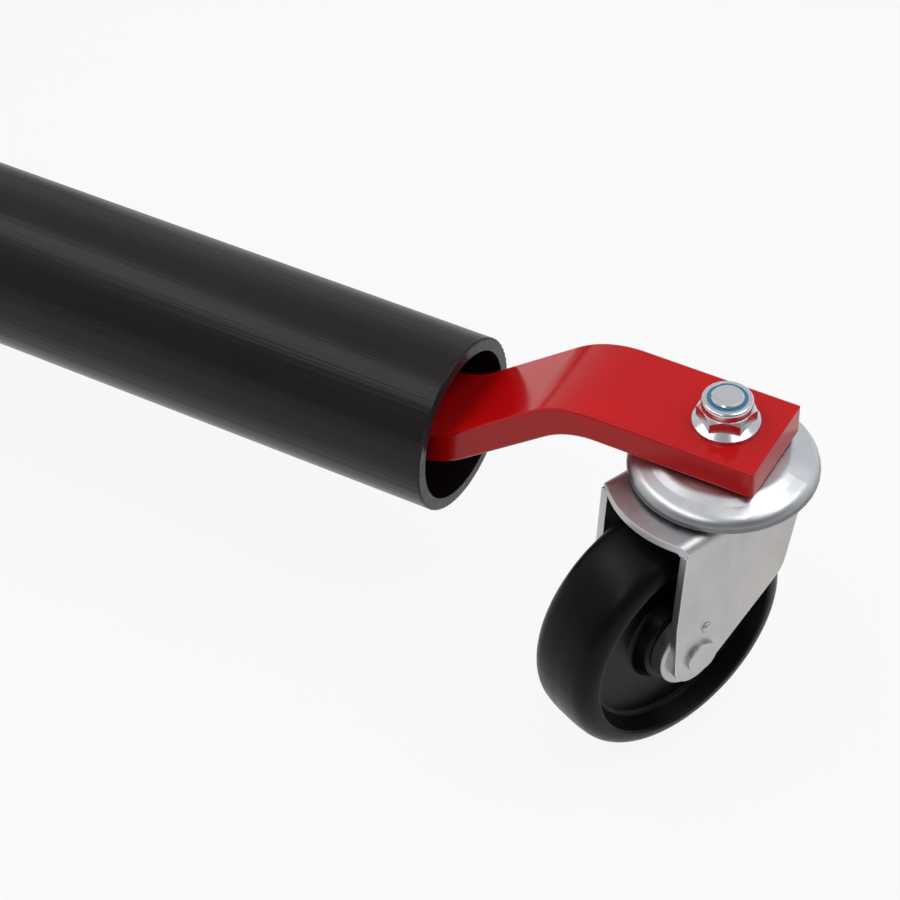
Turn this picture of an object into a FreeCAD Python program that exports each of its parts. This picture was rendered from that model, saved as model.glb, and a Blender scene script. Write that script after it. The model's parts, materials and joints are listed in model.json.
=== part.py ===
import FreeCAD
import Part
import math
import os

# Vehicle positioning jack: two rollers on swivel castors, drawn together under a tyre by a
# foot-pumped ram. Millimetres. +X runs along the rollers to their free ends, +Y along the beam,
# +Z up. The origin is on the floor, under the middle of the jack.

Vector = FreeCAD.Vector
X_AXIS = Vector(1, 0, 0)
Y_AXIS = Vector(0, 1, 0)
Z_AXIS = Vector(0, 0, 1)

# Clearances shared by all fits
RUNNING_FIT = 0.05
FACE_GAP = 0.3
OVERRUN = 5.0

# Castor wheel
WHEEL_RADIUS = 50.0
WHEEL_WIDTH = 31.6
TREAD_BAND = 12.0
TREAD_FALL = 1.6
TREAD_ROUND = 36.0
WHEEL_SHOULDER = 7.6
RIM_HEIGHT = 9.0
DISH_DEPTH = 8.5
DISH_DRAFT = 2.5
DISH_ROUND = 2.0
HUB_RADIUS = 17.6
HUB_RECESS = 2.2
WHEEL_BUSH_WALL = 2.5
WHEEL_AXLE_RADIUS = 5.0
AXLE_HEAD_RADIUS = 6.6
AXLE_HEAD_HEIGHT = 1.9
AXLE_HEAD_ROUND = 0.5
WASHER_RADIUS = 15.5
WASHER_ROUND = 1.2

# Castor fork
CASTER_TRAIL = 28.5
FORK_GAP = 40.2
FORK_SHEET = 3.4
FORK_BEND = 4.6
CROWN_CLEARANCE = 7.3
CROWN_FRONT_RADIUS = 43.3
CROWN_REAR_RADIUS = 33.0
LEG_LIP = 12.0
LEG_FOOT = 10.5
LEG_HEEL = 1.0
LEG_FOOT_ROUND = 9.0
LEG_KNEE_BACK = 10.5
LEG_KNEE_RISE = 21.0
LEG_KNEE_ROUND = 14.0
LEG_TOP_BACK = 18.5
LEG_TOP_FRONT = 37.5
NECK_RADIUS = 30.0
NECK_WALL = 2.5
NECK_HEIGHT = 3.4

# Castor swivel head
BALL_RADIUS = 2.1
BALL_CIRCLE_RADIUS = 23.5
BALL_GAP = 0.15
BALL_COUNT = 28
CAP_RADIUS = 35.0
CAP_SHEET = 3.3
CAP_HEIGHT = 5.8
CAP_RISE = 1.0
CAP_PLATEAU_RADIUS = 14.0
CAP_DISH_RADIUS = 16.5
CAP_TIER_RADIUS = 24.5
CAP_TIER_DROP = 0.5
CAP_TIER_RUN = 3.5
CAP_TIER_FALL = 1.5
CAP_FALL = 4.2
CAP_SHOULDER = 5.0
CAP_SKIRT = 2.7
CAP_CREASE = 5.0

# Threaded stem and flange lock nut
STEM_RADIUS = 6.0
STEM_STAND = 12.6
STEM_CHAMFER = 0.5
STEM_HEAD_RADIUS = 9.0
STEM_HEAD_HEIGHT = 3.6
NUT_FLANGE_RADIUS = 12.4
NUT_FLANGE_EDGE = 1.4
NUT_FLANGE_HEIGHT = 3.2
NUT_ACROSS_FLATS = 19.0
NUT_HEX_TOP = 7.9
NUT_CHAMFER_FALL = 1.5
NUT_TURN = 21.0
NUT_COLLAR_RADIUS = 9.4
NUT_COLLAR_TOP = 11.6
NUT_COLLAR_ROUND = 1.2
INSERT_WALL = 1.4
INSERT_HEIGHT = 2.0
INSERT_DROP = 0.4

# End bars
BAR_WIDTH = 40.8
BAR_THICKNESS = 12.0
BAR_EDGE_ROUND = 1.2
BAR_END_MARGIN = 20.0
BEND_RISE = 44.0
BEND_ANGLE = 38.0
BEND_RADIUS = 39.0
BAR_ROOT = 25.0
FRONT_FLAT_RUN = 42.0
REAR_NUT_MARGIN = 22.0
BEAM_BEND_MARGIN = 4.0

# Rollers
ROLLER_RADIUS = 35.0
ROLLER_WALL = 5.0
ROLLER_LENGTH = 400.0
ROLLER_EDGE_ROUND = 0.8
STEM_REACH = 108.0
ROLLER_AXLE_RADIUS = 18.0
BUSH_WIDTH = 30.0
BUSH_FLOAT = 0.5

# Telescoping beam
ARM_SPACING = 560.0
BEAM_SIZE = 60.0
BEAM_WALL = 4.5
BEAM_SLIDE_GAP = 0.5
BEAM_CORNER = 5.0
INNER_WALL = 4.0
INNER_CORNER = 3.0
BEAM_END_REACH = 45.0
BEAM_OVERLAP = 100.0
PLUG_FLANGE = 4.0
PLUG_DEPTH = 22.0
SLIDE_IN = 160.0
SLIDE_OUT = 80.0
HEAD_LENGTH = 90.0
HEAD_STOP_GAP = 15.0

# Lock pin and its row of holes
LOCK_PIN_RADIUS = 6.0
LOCK_PIN_INSET = 40.0
LOCK_PITCH = 20.0
LOCK_BOSS_RADIUS = 13.0
LOCK_BOSS_HEIGHT = 24.0
LOCK_PIN_TRAVEL = 22.0
LOCK_TIP_LIFT = 4.0
LOCK_COLLAR_RADIUS = 10.0
LOCK_COLLAR_HEIGHT = 6.0
LOCK_GRIP_RADIUS = 5.0
LOCK_GRIP_LENGTH = 46.0

# Ram along the back of the beam
RAM_SETBACK = 34.0
RAM_RADIUS = 25.0
RAM_BORE_RADIUS = 20.0
PISTON_LENGTH = 20.0
PISTON_END_GAP = 1.0
PISTON_ROD_RADIUS = 9.0
GLAND_DEPTH = 18.0
GLAND_HEAD = 12.0
GLAND_ACROSS_FLATS = 44.0
BRACKET_WALL = 6.5
BRACKET_THICKNESS = 14.0
BRACKET_SHARES = (0.35, 0.87)
ROD_LUG_SETBACK = 30.0
ROD_LUG_GAP = 16.0
ROD_LUG_THICKNESS = 10.0
ROD_LUG_RADIUS = 14.0
ROD_TANG_HEIGHT = 15.0
ROD_PIN_RADIUS = 6.0
ROD_PIN_HEAD_RADIUS = 9.0
ROD_PIN_HEAD = 4.0

# Pump body
PUMP_WIDTH = 70.0
PUMP_DEPTH = 86.0
PUMP_HEIGHT = 56.0
PUMP_ROUND = 7.0
PUMP_END_WALL = 20.0
FLANGE_WIDTH = 18.0
FLANGE_THICKNESS = 10.0
FLANGE_BOLT_SPREAD = 30.0
BOLT_RADIUS = 4.0
BOLT_HEAD_RADIUS = 6.5
BOLT_HEAD_HEIGHT = 8.0
BOLT_SOCKET_RADIUS = 3.4
BOLT_SOCKET_DEPTH = 4.0
EAR_GAP = 24.0
EAR_THICKNESS = 10.0
EAR_RADIUS = 13.0

# Pedal, plunger and return spring
PEDAL_LEVER = 32.0
PEDAL_TILT = 10.0
PEDAL_LENGTH = 160.0
PEDAL_ARM_WIDTH = 22.0
PEDAL_ARM_TOP = 9.0
PEDAL_ARM_BOTTOM = 4.0
PEDAL_EYE_RADIUS = 12.0
PEDAL_LOBE_RADIUS = 7.0
PEDAL_PIN_RADIUS = 6.0
PEDAL_PIN_HEAD_RADIUS = 9.0
PEDAL_PIN_HEAD = 3.0
PLATE_LENGTH = 86.0
PLATE_WIDTH = 74.0
PLATE_THICKNESS = 5.0
PLATE_ROUND = 10.0
PAD_MARGIN = 3.0
PAD_THICKNESS = 7.0
PAD_RIB_COUNT = 7
PAD_RIB_HEIGHT = 2.5
PAD_RIB_SHARE = 0.55
PLUNGER_RADIUS = 8.0
PLUNGER_DEPTH = 40.0
PLUNGER_BORE_SPARE = 4.0
PLUNGER_STROKE = 11.5
PLUNGER_BOSS_RADIUS = 16.0
PLUNGER_BOSS_HEIGHT = 6.0
PLUNGER_HEAD_RADIUS = 12.5
PLUNGER_HEAD_HEIGHT = 5.0
SPRING_LENGTH = 26.0
SPRING_TURNS = 4
SPRING_WIRE_RADIUS = 1.1
SPRING_SIDE_GAP = 0.9

# Release valve
VALVE_OFFSET = 19.0
VALVE_HEIGHT = 17.0
VALVE_SPINDLE_RADIUS = 6.0
VALVE_DEPTH = 24.0
VALVE_COLLAR_RADIUS = 10.0
VALVE_COLLAR_LENGTH = 12.0
VALVE_NECK = 1.0
VALVE_WING_LENGTH = 46.0
VALVE_WING_WIDTH = 12.0
VALVE_WING_THICKNESS = 9.0

# Rest headings of the castors, as the way each one trails
FRONT_TRAIL_ANGLE = 113.0
REAR_TRAIL_ANGLE = 75.0

# Heights, stacked from the floor up
axle_z = WHEEL_RADIUS
crown_under = WHEEL_RADIUS + WHEEL_RADIUS + CROWN_CLEARANCE
crown_top = crown_under + FORK_SHEET
cap_under = crown_top + 2 * (BALL_RADIUS + BALL_GAP)
cap_top = cap_under + CAP_HEIGHT
bar_bottom = cap_top + CAP_RISE
bar_top = bar_bottom + BAR_THICKNESS
roller_z = bar_bottom + BAR_THICKNESS / 2 - BEND_RISE
beam_z = bar_top + BEAM_SIZE / 2
beam_top = bar_top + BEAM_SIZE

# Run of a bent bar from its upper flat to its root flat
bend_angle = math.radians(BEND_ANGLE)
slope_rise = BEND_RISE - 2 * BEND_RADIUS * (1 - math.cos(bend_angle))
bend_run = 2 * BEND_RADIUS * math.sin(bend_angle) + slope_rise / math.tan(bend_angle)

# Places along X, first from the rear end of the rollers, then centred
root_inset = FRONT_FLAT_RUN + bend_run - STEM_REACH + BAR_ROOT
flat_start = STEM_REACH - FRONT_FLAT_RUN
beam_reach = flat_start + BEAM_BEND_MARGIN + BEAM_SIZE / 2
rear_stem_reach = beam_reach + BEAM_SIZE / 2 + REAR_NUT_MARGIN
pedal_tilt = math.radians(PEDAL_TILT)
pedal_tip_reach = (beam_reach + BEAM_SIZE / 2 + RAM_SETBACK + PEDAL_LENGTH * math.cos(pedal_tilt)
                   + PEDAL_ARM_BOTTOM * math.sin(pedal_tilt))
front_reach = ROLLER_LENGTH + STEM_REACH + CAP_RADIUS
roller_rear_x = (pedal_tip_reach - front_reach) / 2
roller_front_x = roller_rear_x + ROLLER_LENGTH
front_stem_x = roller_front_x + STEM_REACH
rear_stem_x = roller_rear_x - rear_stem_reach
beam_x = roller_rear_x - beam_reach
beam_back_x = beam_x - BEAM_SIZE / 2
ram_x = beam_back_x - RAM_SETBACK

# Places along Y
fixed_y = -ARM_SPACING / 2
sliding_y = ARM_SPACING / 2
outer_start_y = fixed_y - BEAM_END_REACH
inner_end_y = sliding_y + BEAM_END_REACH
head_start_y = inner_end_y - HEAD_LENGTH
outer_end_y = head_start_y - SLIDE_IN - HEAD_STOP_GAP
inner_start_y = outer_end_y - BEAM_OVERLAP - SLIDE_OUT
lock_y = outer_end_y - LOCK_PIN_INSET
ram_room = SLIDE_IN + SLIDE_OUT + PISTON_LENGTH + 2 * PISTON_END_GAP
ram_bore_y = outer_end_y - GLAND_DEPTH - ram_room
pump_start_y = ram_bore_y - PUMP_END_WALL
pump_y = pump_start_y + PUMP_WIDTH / 2
pump_end_y = pump_start_y + PUMP_WIDTH
piston_y = ram_bore_y + PISTON_END_GAP + SLIDE_IN
rod_pin_y = sliding_y - ROD_LUG_SETBACK

# Size of the sliding inner beam
inner_size = BEAM_SIZE - 2 * (BEAM_WALL + BEAM_SLIDE_GAP)

# Pump heights
pump_bottom = beam_z - PUMP_HEIGHT / 2
pump_top = beam_z + PUMP_HEIGHT / 2
spring_foot_z = pump_top + PLUNGER_BOSS_HEIGHT
plunger_top = spring_foot_z + SPRING_LENGTH + PLUNGER_HEAD_HEIGHT
pedal_pivot_z = plunger_top + FACE_GAP + PEDAL_LOBE_RADIUS - PEDAL_LEVER * math.sin(pedal_tilt)
plunger_x = ram_x - PEDAL_LEVER * math.cos(pedal_tilt)


def outline(corners, origin, u_axis, v_axis):
    """Closed wire through (u, v, round) corners, each corner rounded off by its round."""
    count = len(corners)
    spots = [origin + u_axis * u + v_axis * v for u, v, rounding in corners]
    ends = []
    edges = []
    for index in range(count):
        spot = spots[index]
        before = (spots[index - 1] - spot).normalize()
        after = (spots[(index + 1) % count] - spot).normalize()
        rounding = corners[index][2]
        if rounding == 0:
            ends.append((spot, spot))
            continue
        half = before.getAngle(after) / 2
        cut = rounding / math.tan(half)
        middle_way = (before + after).normalize()
        middle = spot + middle_way * (rounding / math.sin(half) - rounding)
        start = spot + before * cut
        end = spot + after * cut
        ends.append((start, end))
        edges.append(Part.Arc(start, middle, end).toShape())
    for index in range(count):
        start = ends[index][1]
        end = ends[(index + 1) % count][0]
        if start.distanceToPoint(end) > Part.Precision.confusion():
            edges.append(Part.LineSegment(start, end).toShape())
    return Part.Wire(Part.__sortEdges__(edges))


def extruded(corners, origin, u_axis, v_axis, sweep):
    """Solid from a rounded outline pushed along a vector."""
    return Part.Face(outline(corners, origin, u_axis, v_axis)).extrude(sweep)


def turned(corners, centre, axis=Z_AXIS, out=X_AXIS):
    """Solid of revolution from (radius, height, round) corners about an axis."""
    return Part.Face(outline(corners, centre, out, axis)).revolve(centre, axis, 360)


def ring(outer, inner, start, length, axis):
    """Plain tube from a start point along an axis."""
    bore = Part.makeCylinder(inner, length, start, axis)
    return Part.makeCylinder(outer, length, start, axis).cut(bore)


def box_between(low, high):
    """Box between two opposite corners."""
    size = high - low
    return Part.makeBox(size.x, size.y, size.z, low)


def hexagon(across_flats, start, length, axis, flat_way):
    """Hexagonal prism whose flats face flat_way."""
    corner = flat_way * (across_flats / math.sqrt(3))
    turn = FreeCAD.Rotation(axis, 30)
    step = FreeCAD.Rotation(axis, 60)
    corner = turn.multVec(corner)
    points = []
    for index in range(6):
        points.append(start + corner)
        corner = step.multVec(corner)
    points.append(points[0])
    return Part.Face(Part.makePolygon(points)).extrude(axis * length)


def square_bar(size, corner, start_y, end_y):
    """Square bar on the beam's axis with rounded corners."""
    half = size / 2
    corners = [(-half, -half, corner), (half, -half, corner), (half, half, corner), (-half, half, corner)]
    return extruded(corners, Vector(beam_x, start_y, beam_z), X_AXIS, Z_AXIS, Y_AXIS * (end_y - start_y))


def square_tube(size, wall, corner, start_y, end_y):
    """Square tube on the beam's axis, rounded outside and, where its wall lets it, inside."""
    bore = square_bar(size - 2 * wall, max(corner - wall, 0), start_y, end_y)
    return square_bar(size, corner, start_y, end_y).cut(bore)


def group(solids):
    """Several separate solids of one kind."""
    return Part.makeCompound(solids)


def at_caster(shape, x, y, heading):
    """Turn a castor piece to its heading and set it under its stem."""
    placed = shape.copy()
    placed.rotate(Vector(), Z_AXIS, heading)
    placed.translate(Vector(x, y, 0))
    return placed


def wheel():
    """Dished castor wheel on the axle height, turning about Y."""
    half = WHEEL_WIDTH / 2
    web = half - DISH_DEPTH
    hub = half - HUB_RECESS
    bore = WHEEL_AXLE_RADIUS + RUNNING_FIT + WHEEL_BUSH_WALL
    rim = WHEEL_RADIUS - RIM_HEIGHT
    side = [(bore, hub, 0), (HUB_RADIUS, hub, DISH_ROUND / 2), (HUB_RADIUS + DISH_DRAFT, web, DISH_ROUND),
            (rim - DISH_DRAFT, web, DISH_ROUND), (rim, half, DISH_ROUND / 2),
            (WHEEL_RADIUS - TREAD_FALL, half, WHEEL_SHOULDER), (WHEEL_RADIUS, TREAD_BAND / 2, TREAD_ROUND)]
    mirrored = [(r, -h, rounding) for r, h, rounding in reversed(side)]
    return turned(side + mirrored, Vector(CASTER_TRAIL, 0, axle_z), Y_AXIS)


def wheel_bush():
    """Plain bearing bush pressed in the wheel's hub."""
    length = WHEEL_WIDTH - 2 * HUB_RECESS
    inner = WHEEL_AXLE_RADIUS + RUNNING_FIT
    return ring(inner + WHEEL_BUSH_WALL, inner, Vector(CASTER_TRAIL, -length / 2, axle_z), length, Y_AXIS)


def axle_washers():
    """Spacer washers between the hub and the fork legs."""
    inner = WHEEL_WIDTH / 2 - HUB_RECESS + FACE_GAP
    outer = FORK_GAP / 2
    corners = [(WHEEL_AXLE_RADIUS, inner, 0), (WASHER_RADIUS, inner, 0),
               (WASHER_RADIUS, outer, WASHER_ROUND), (WHEEL_AXLE_RADIUS, outer, 0)]
    mirrored = [(r, -h, rounding) for r, h, rounding in reversed(corners)]
    centre = Vector(CASTER_TRAIL, 0, axle_z)
    return group([turned(side, centre, Y_AXIS) for side in (corners, mirrored)])


def wheel_axle():
    """Rivet through both fork legs, with a flat head at each end."""
    leg = FORK_GAP / 2 + FORK_SHEET
    tip = leg + AXLE_HEAD_HEIGHT
    side = [(0, tip, 0), (AXLE_HEAD_RADIUS, tip, AXLE_HEAD_ROUND), (AXLE_HEAD_RADIUS, leg, 0),
            (WHEEL_AXLE_RADIUS, leg, 0)]
    mirrored = [(r, -h, rounding) for r, h, rounding in reversed(side)]
    return turned(side + mirrored, Vector(CASTER_TRAIL, 0, axle_z), Y_AXIS)


def fork():
    """Pressed fork: a bent channel cut to the leg outline, with a raised ball neck."""
    inner = FORK_GAP / 2
    outer = inner + FORK_SHEET
    foot = axle_z - LEG_FOOT
    bend_inside = FORK_BEND - FORK_SHEET
    section = [(-outer, foot, 0), (-outer, crown_top, FORK_BEND), (outer, crown_top, FORK_BEND),
               (outer, foot, 0), (inner, foot, 0), (inner, crown_under, bend_inside),
               (-inner, crown_under, bend_inside), (-inner, foot, 0)]
    span = CROWN_FRONT_RADIUS + CROWN_REAR_RADIUS
    channel = extruded(section, Vector(-CROWN_REAR_RADIUS, 0, 0), Y_AXIS, Z_AXIS, X_AXIS * span)
    bend_z = crown_top - FORK_BEND
    toe = CASTER_TRAIL + LEG_LIP
    knee = axle_z + LEG_KNEE_RISE
    side = [(toe, foot, LEG_FOOT_ROUND), (toe, knee, 0),
            (LEG_TOP_FRONT, bend_z, 0), (CROWN_FRONT_RADIUS, bend_z, 0), (CROWN_FRONT_RADIUS, crown_top, 0),
            (-CROWN_REAR_RADIUS, crown_top, 0), (-CROWN_REAR_RADIUS, bend_z, 0), (-LEG_TOP_BACK, bend_z, 0),
            (-LEG_KNEE_BACK, knee, LEG_KNEE_ROUND), (CASTER_TRAIL - LEG_HEEL, foot, LEG_FOOT_ROUND)]
    legs = channel.common(extruded(side, Vector(0, -outer, 0), X_AXIS, Z_AXIS, Y_AXIS * (2 * outer)))
    lid = box_between(Vector(-span, -span, bend_z), Vector(span, span, crown_top + OVERRUN))
    front = Part.makeCylinder(CROWN_FRONT_RADIUS, span, Vector(0, 0, foot))
    front = front.common(box_between(Vector(0, -span, foot), Vector(span, span, foot + span)))
    rear = Part.makeCylinder(CROWN_REAR_RADIUS, span, Vector(0, 0, foot))
    shape = legs.cut(lid.cut(front.fuse(rear)))
    neck = ring(NECK_RADIUS, NECK_RADIUS - NECK_WALL, Vector(0, 0, crown_top), NECK_HEIGHT, Z_AXIS)
    shelf = Part.makeCylinder(NECK_RADIUS, FORK_SHEET, Vector(0, 0, crown_under))
    shape = shape.fuse(shelf).fuse(neck)
    stem_hole = Part.makeCylinder(STEM_RADIUS + RUNNING_FIT, span, Vector(0, 0, foot))
    axle_hole = Part.makeCylinder(WHEEL_AXLE_RADIUS, span, Vector(CASTER_TRAIL, -span / 2, axle_z), Y_AXIS)
    return shape.cut(stem_hole).cut(axle_hole).removeSplitter()


def swivel_balls():
    """Ring of balls between the fork's crown and the swivel cap."""
    z = crown_top + BALL_GAP + BALL_RADIUS
    balls = []
    for index in range(BALL_COUNT):
        angle = 2 * math.pi * index / BALL_COUNT
        spot = Vector(BALL_CIRCLE_RADIUS * math.cos(angle), BALL_CIRCLE_RADIUS * math.sin(angle), z)
        balls.append(Part.makeSphere(BALL_RADIUS, spot))
    return balls


def swivel_cap():
    """Pressed cap under the bar, which the balls run against."""
    rim = cap_under - CAP_SKIRT
    wall = CAP_RADIUS - CAP_SHEET
    tier = cap_top - CAP_TIER_DROP
    corners = [(STEM_RADIUS, cap_under, 0), (STEM_RADIUS, bar_bottom, 0),
               (CAP_PLATEAU_RADIUS, bar_bottom, CAP_CREASE), (CAP_DISH_RADIUS, cap_top, CAP_CREASE),
               (CAP_TIER_RADIUS, tier, CAP_CREASE),
               (CAP_TIER_RADIUS + CAP_TIER_RUN, tier - CAP_TIER_FALL, CAP_CREASE),
               (CAP_RADIUS, cap_top - CAP_FALL, CAP_SHOULDER),
               (CAP_RADIUS, rim, 0), (wall, rim, 0), (wall, cap_under, 0)]
    return turned(corners, Vector())


def caster_stem():
    """Threaded stem through the bar, with the head that carries the fork."""
    top = bar_top + STEM_STAND
    seat = crown_under - FACE_GAP
    foot = seat - STEM_HEAD_HEIGHT
    corners = [(0, foot, 0), (STEM_HEAD_RADIUS, foot, 0), (STEM_HEAD_RADIUS, seat, 0),
               (STEM_RADIUS, seat, 0), (STEM_RADIUS, top - STEM_CHAMFER, 0),
               (STEM_RADIUS - STEM_CHAMFER, top, 0), (0, top, 0)]
    return turned(corners, Vector())


def stem_nut():
    """Flange lock nut on top of the bar, with a recess for its nylon ring."""
    seat = Vector(0, 0, bar_top)
    hex_corner = NUT_ACROSS_FLATS / math.sqrt(3)
    flat_way = FreeCAD.Rotation(Z_AXIS, NUT_TURN).multVec(Y_AXIS)
    flange = turned([(0, 0, 0), (NUT_FLANGE_RADIUS, 0, 0), (NUT_FLANGE_RADIUS, NUT_FLANGE_EDGE, 0),
                     (NUT_ACROSS_FLATS / 2, NUT_FLANGE_HEIGHT, 0), (0, NUT_FLANGE_HEIGHT, 0)], seat)
    hex_limit = turned([(0, 0, 0), (hex_corner, 0, 0), (hex_corner, NUT_HEX_TOP - NUT_CHAMFER_FALL, 0),
                        (NUT_ACROSS_FLATS / 2, NUT_HEX_TOP, 0), (0, NUT_HEX_TOP, 0)], seat)
    faces = hexagon(NUT_ACROSS_FLATS, seat, NUT_HEX_TOP, Z_AXIS, flat_way).common(hex_limit)
    collar = turned([(0, 0, 0), (NUT_COLLAR_RADIUS, 0, 0),
                     (NUT_COLLAR_RADIUS, NUT_COLLAR_TOP, NUT_COLLAR_ROUND),
                     (0, NUT_COLLAR_TOP, 0)], seat)
    bore = Part.makeCylinder(STEM_RADIUS, NUT_COLLAR_TOP, seat)
    recess = Part.makeCylinder(STEM_RADIUS + INSERT_WALL, INSERT_HEIGHT + INSERT_DROP,
                               seat + Z_AXIS * (NUT_COLLAR_TOP - INSERT_HEIGHT - INSERT_DROP))
    return flange.fuse(faces).fuse(collar).cut(bore).cut(recess).removeSplitter()


def nut_insert():
    """Nylon locking ring in the top of the nut."""
    start = Vector(0, 0, bar_top + NUT_COLLAR_TOP - INSERT_DROP - INSERT_HEIGHT)
    return ring(STEM_RADIUS + INSERT_WALL, STEM_RADIUS, start, INSERT_HEIGHT, Z_AXIS)


def end_bar(roller_end_x, way, stem_x, y):
    """Flat bar bent up out of the roller's end, drilled for a castor stem."""
    half = BAR_THICKNESS / 2
    lean = half * math.tan(bend_angle / 2)
    corner_cut = BEND_RADIUS * math.tan(bend_angle / 2)
    upper = flat_start - corner_cut
    lower = upper - BEND_RISE / math.tan(bend_angle)
    root = -root_inset
    tip = (stem_x - roller_end_x) * way + BAR_END_MARGIN
    inside = BEND_RADIUS - half
    outside = BEND_RADIUS + half
    corners = [(root, -half, 0), (lower + lean, -half, outside), (upper + lean, BEND_RISE - half, inside),
               (tip, BEND_RISE - half, 0), (tip, BEND_RISE + half, 0),
               (upper - lean, BEND_RISE + half, outside),
               (lower - lean, half, inside), (root, half, 0)]
    origin = Vector(roller_end_x, y - BAR_WIDTH / 2, roller_z)
    shape = extruded(corners, origin, X_AXIS * way, Z_AXIS, Y_AXIS * BAR_WIDTH)
    side_edges = []
    for edge in shape.Edges:
        along = [vertex.Y for vertex in edge.Vertexes]
        if max(along) - min(along) < BAR_EDGE_ROUND:
            side_edges.append(edge)
    shape = shape.makeFillet(BAR_EDGE_ROUND, side_edges)
    hole_start = Vector(stem_x, y, bar_bottom - OVERRUN)
    return shape.cut(Part.makeCylinder(STEM_RADIUS, BAR_THICKNESS + 2 * OVERRUN, hole_start))


def roller_axle(y):
    """Fixed round axle between the roots of the two end bars."""
    length = ROLLER_LENGTH - 2 * root_inset
    start = Vector(roller_rear_x + root_inset, y, roller_z)
    return Part.makeCylinder(ROLLER_AXLE_RADIUS, length, start, X_AXIS)


def roller_tube(y):
    """Roller tube with softly broken edges at its ends."""
    inner = ROLLER_RADIUS - ROLLER_WALL
    corners = [(inner, 0, 0), (ROLLER_RADIUS, 0, ROLLER_EDGE_ROUND),
               (ROLLER_RADIUS, ROLLER_LENGTH, ROLLER_EDGE_ROUND), (inner, ROLLER_LENGTH, 0)]
    return turned(corners, Vector(roller_rear_x, y, roller_z), X_AXIS, Z_AXIS)


def roller_bushes(y):
    """Plain bushes pressed in the roller, running on the axle's two ends."""
    inset = root_inset + BUSH_FLOAT
    starts = (roller_rear_x + inset, roller_front_x - inset - BUSH_WIDTH)
    inner = ROLLER_AXLE_RADIUS + RUNNING_FIT
    outer = ROLLER_RADIUS - ROLLER_WALL
    return group([ring(outer, inner, Vector(x, y, roller_z), BUSH_WIDTH, X_AXIS) for x in starts])


def outer_beam():
    """Outer square tube with the guide boss of the lock pin."""
    shape = square_tube(BEAM_SIZE, BEAM_WALL, BEAM_CORNER, outer_start_y, outer_end_y)
    foot = Vector(beam_x, lock_y, beam_top - BEAM_WALL)
    boss = Part.makeCylinder(LOCK_BOSS_RADIUS, LOCK_BOSS_HEIGHT + BEAM_WALL, foot)
    hole = Part.makeCylinder(LOCK_PIN_RADIUS + RUNNING_FIT, LOCK_BOSS_HEIGHT + BEAM_WALL, foot)
    for spread in (-FLANGE_BOLT_SPREAD / 2, FLANGE_BOLT_SPREAD / 2):
        start = Vector(beam_back_x, pump_start_y - FLANGE_WIDTH / 2, beam_z + spread)
        hole = hole.fuse(Part.makeCylinder(BOLT_RADIUS, BEAM_WALL, start, X_AXIS))
    return shape.fuse(boss).cut(hole).removeSplitter()


def inner_beam():
    """Inner square tube with its row of lock holes."""
    shape = square_tube(inner_size, INNER_WALL, INNER_CORNER, inner_start_y, inner_end_y)
    steps_out = math.floor(SLIDE_OUT / LOCK_PITCH)
    steps_in = math.floor(SLIDE_IN / LOCK_PITCH)
    holes = []
    for step in range(-steps_out, steps_in + 1):
        start = Vector(beam_x, lock_y + step * LOCK_PITCH, beam_z)
        holes.append(Part.makeCylinder(LOCK_PIN_RADIUS + FACE_GAP, inner_size, start))
    return shape.cut(group(holes))


def beam_plug(inside, corner, end_y, way):
    """Push-in plastic plug that closes a square tube's end."""
    stem = square_bar(inside, corner, end_y, end_y - way * PLUG_DEPTH)
    lid = square_bar(BEAM_SIZE, BEAM_CORNER, end_y, end_y + way * PLUG_FLANGE)
    edge = [e for e in lid.Edges if abs(e.CenterOfMass.y - end_y) > PLUG_FLANGE - RUNNING_FIT]
    return lid.makeFillet(PLUG_FLANGE / 2, edge).fuse(stem).removeSplitter()


def slide_head():
    """Sleeve welded on the inner beam, with two ears for the rod's pin."""
    wall = (BEAM_SIZE - inner_size) / 2
    shape = square_tube(BEAM_SIZE, wall, INNER_CORNER + wall, head_start_y, inner_end_y)
    corners = [(0, -ROD_LUG_RADIUS, 0), (0, ROD_LUG_RADIUS, 0),
               (-RAM_SETBACK - ROD_LUG_RADIUS, ROD_LUG_RADIUS, ROD_LUG_RADIUS / 2),
               (-RAM_SETBACK - ROD_LUG_RADIUS, -ROD_LUG_RADIUS, ROD_LUG_RADIUS / 2)]
    for z in (beam_z + ROD_LUG_GAP / 2, beam_z - ROD_LUG_GAP / 2 - ROD_LUG_THICKNESS):
        root = Vector(beam_back_x, rod_pin_y, z)
        ear = extruded(corners, root, X_AXIS, Y_AXIS, Z_AXIS * ROD_LUG_THICKNESS)
        hole = Part.makeCylinder(ROD_PIN_RADIUS, ROD_LUG_THICKNESS, Vector(ram_x, rod_pin_y, z))
        shape = shape.fuse(ear.cut(hole))
    return shape.removeSplitter()


def ram_cylinder():
    """Ram tube from the pump body to its gland."""
    start = Vector(ram_x, pump_end_y, beam_z)
    return ring(RAM_RADIUS, RAM_BORE_RADIUS, start, outer_end_y - pump_end_y, Y_AXIS)


def gland_nut():
    """Hexagonal gland that closes the ram and guides its rod."""
    start = Vector(ram_x, outer_end_y, beam_z)
    spigot = Part.makeCylinder(RAM_BORE_RADIUS, GLAND_DEPTH, start - Y_AXIS * GLAND_DEPTH, Y_AXIS)
    head = hexagon(GLAND_ACROSS_FLATS, start, GLAND_HEAD, Y_AXIS, Z_AXIS)
    length = GLAND_DEPTH + GLAND_HEAD
    hole = Part.makeCylinder(PISTON_ROD_RADIUS + RUNNING_FIT, length, start - Y_AXIS * GLAND_DEPTH, Y_AXIS)
    return spigot.fuse(head).cut(hole).removeSplitter()


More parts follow.
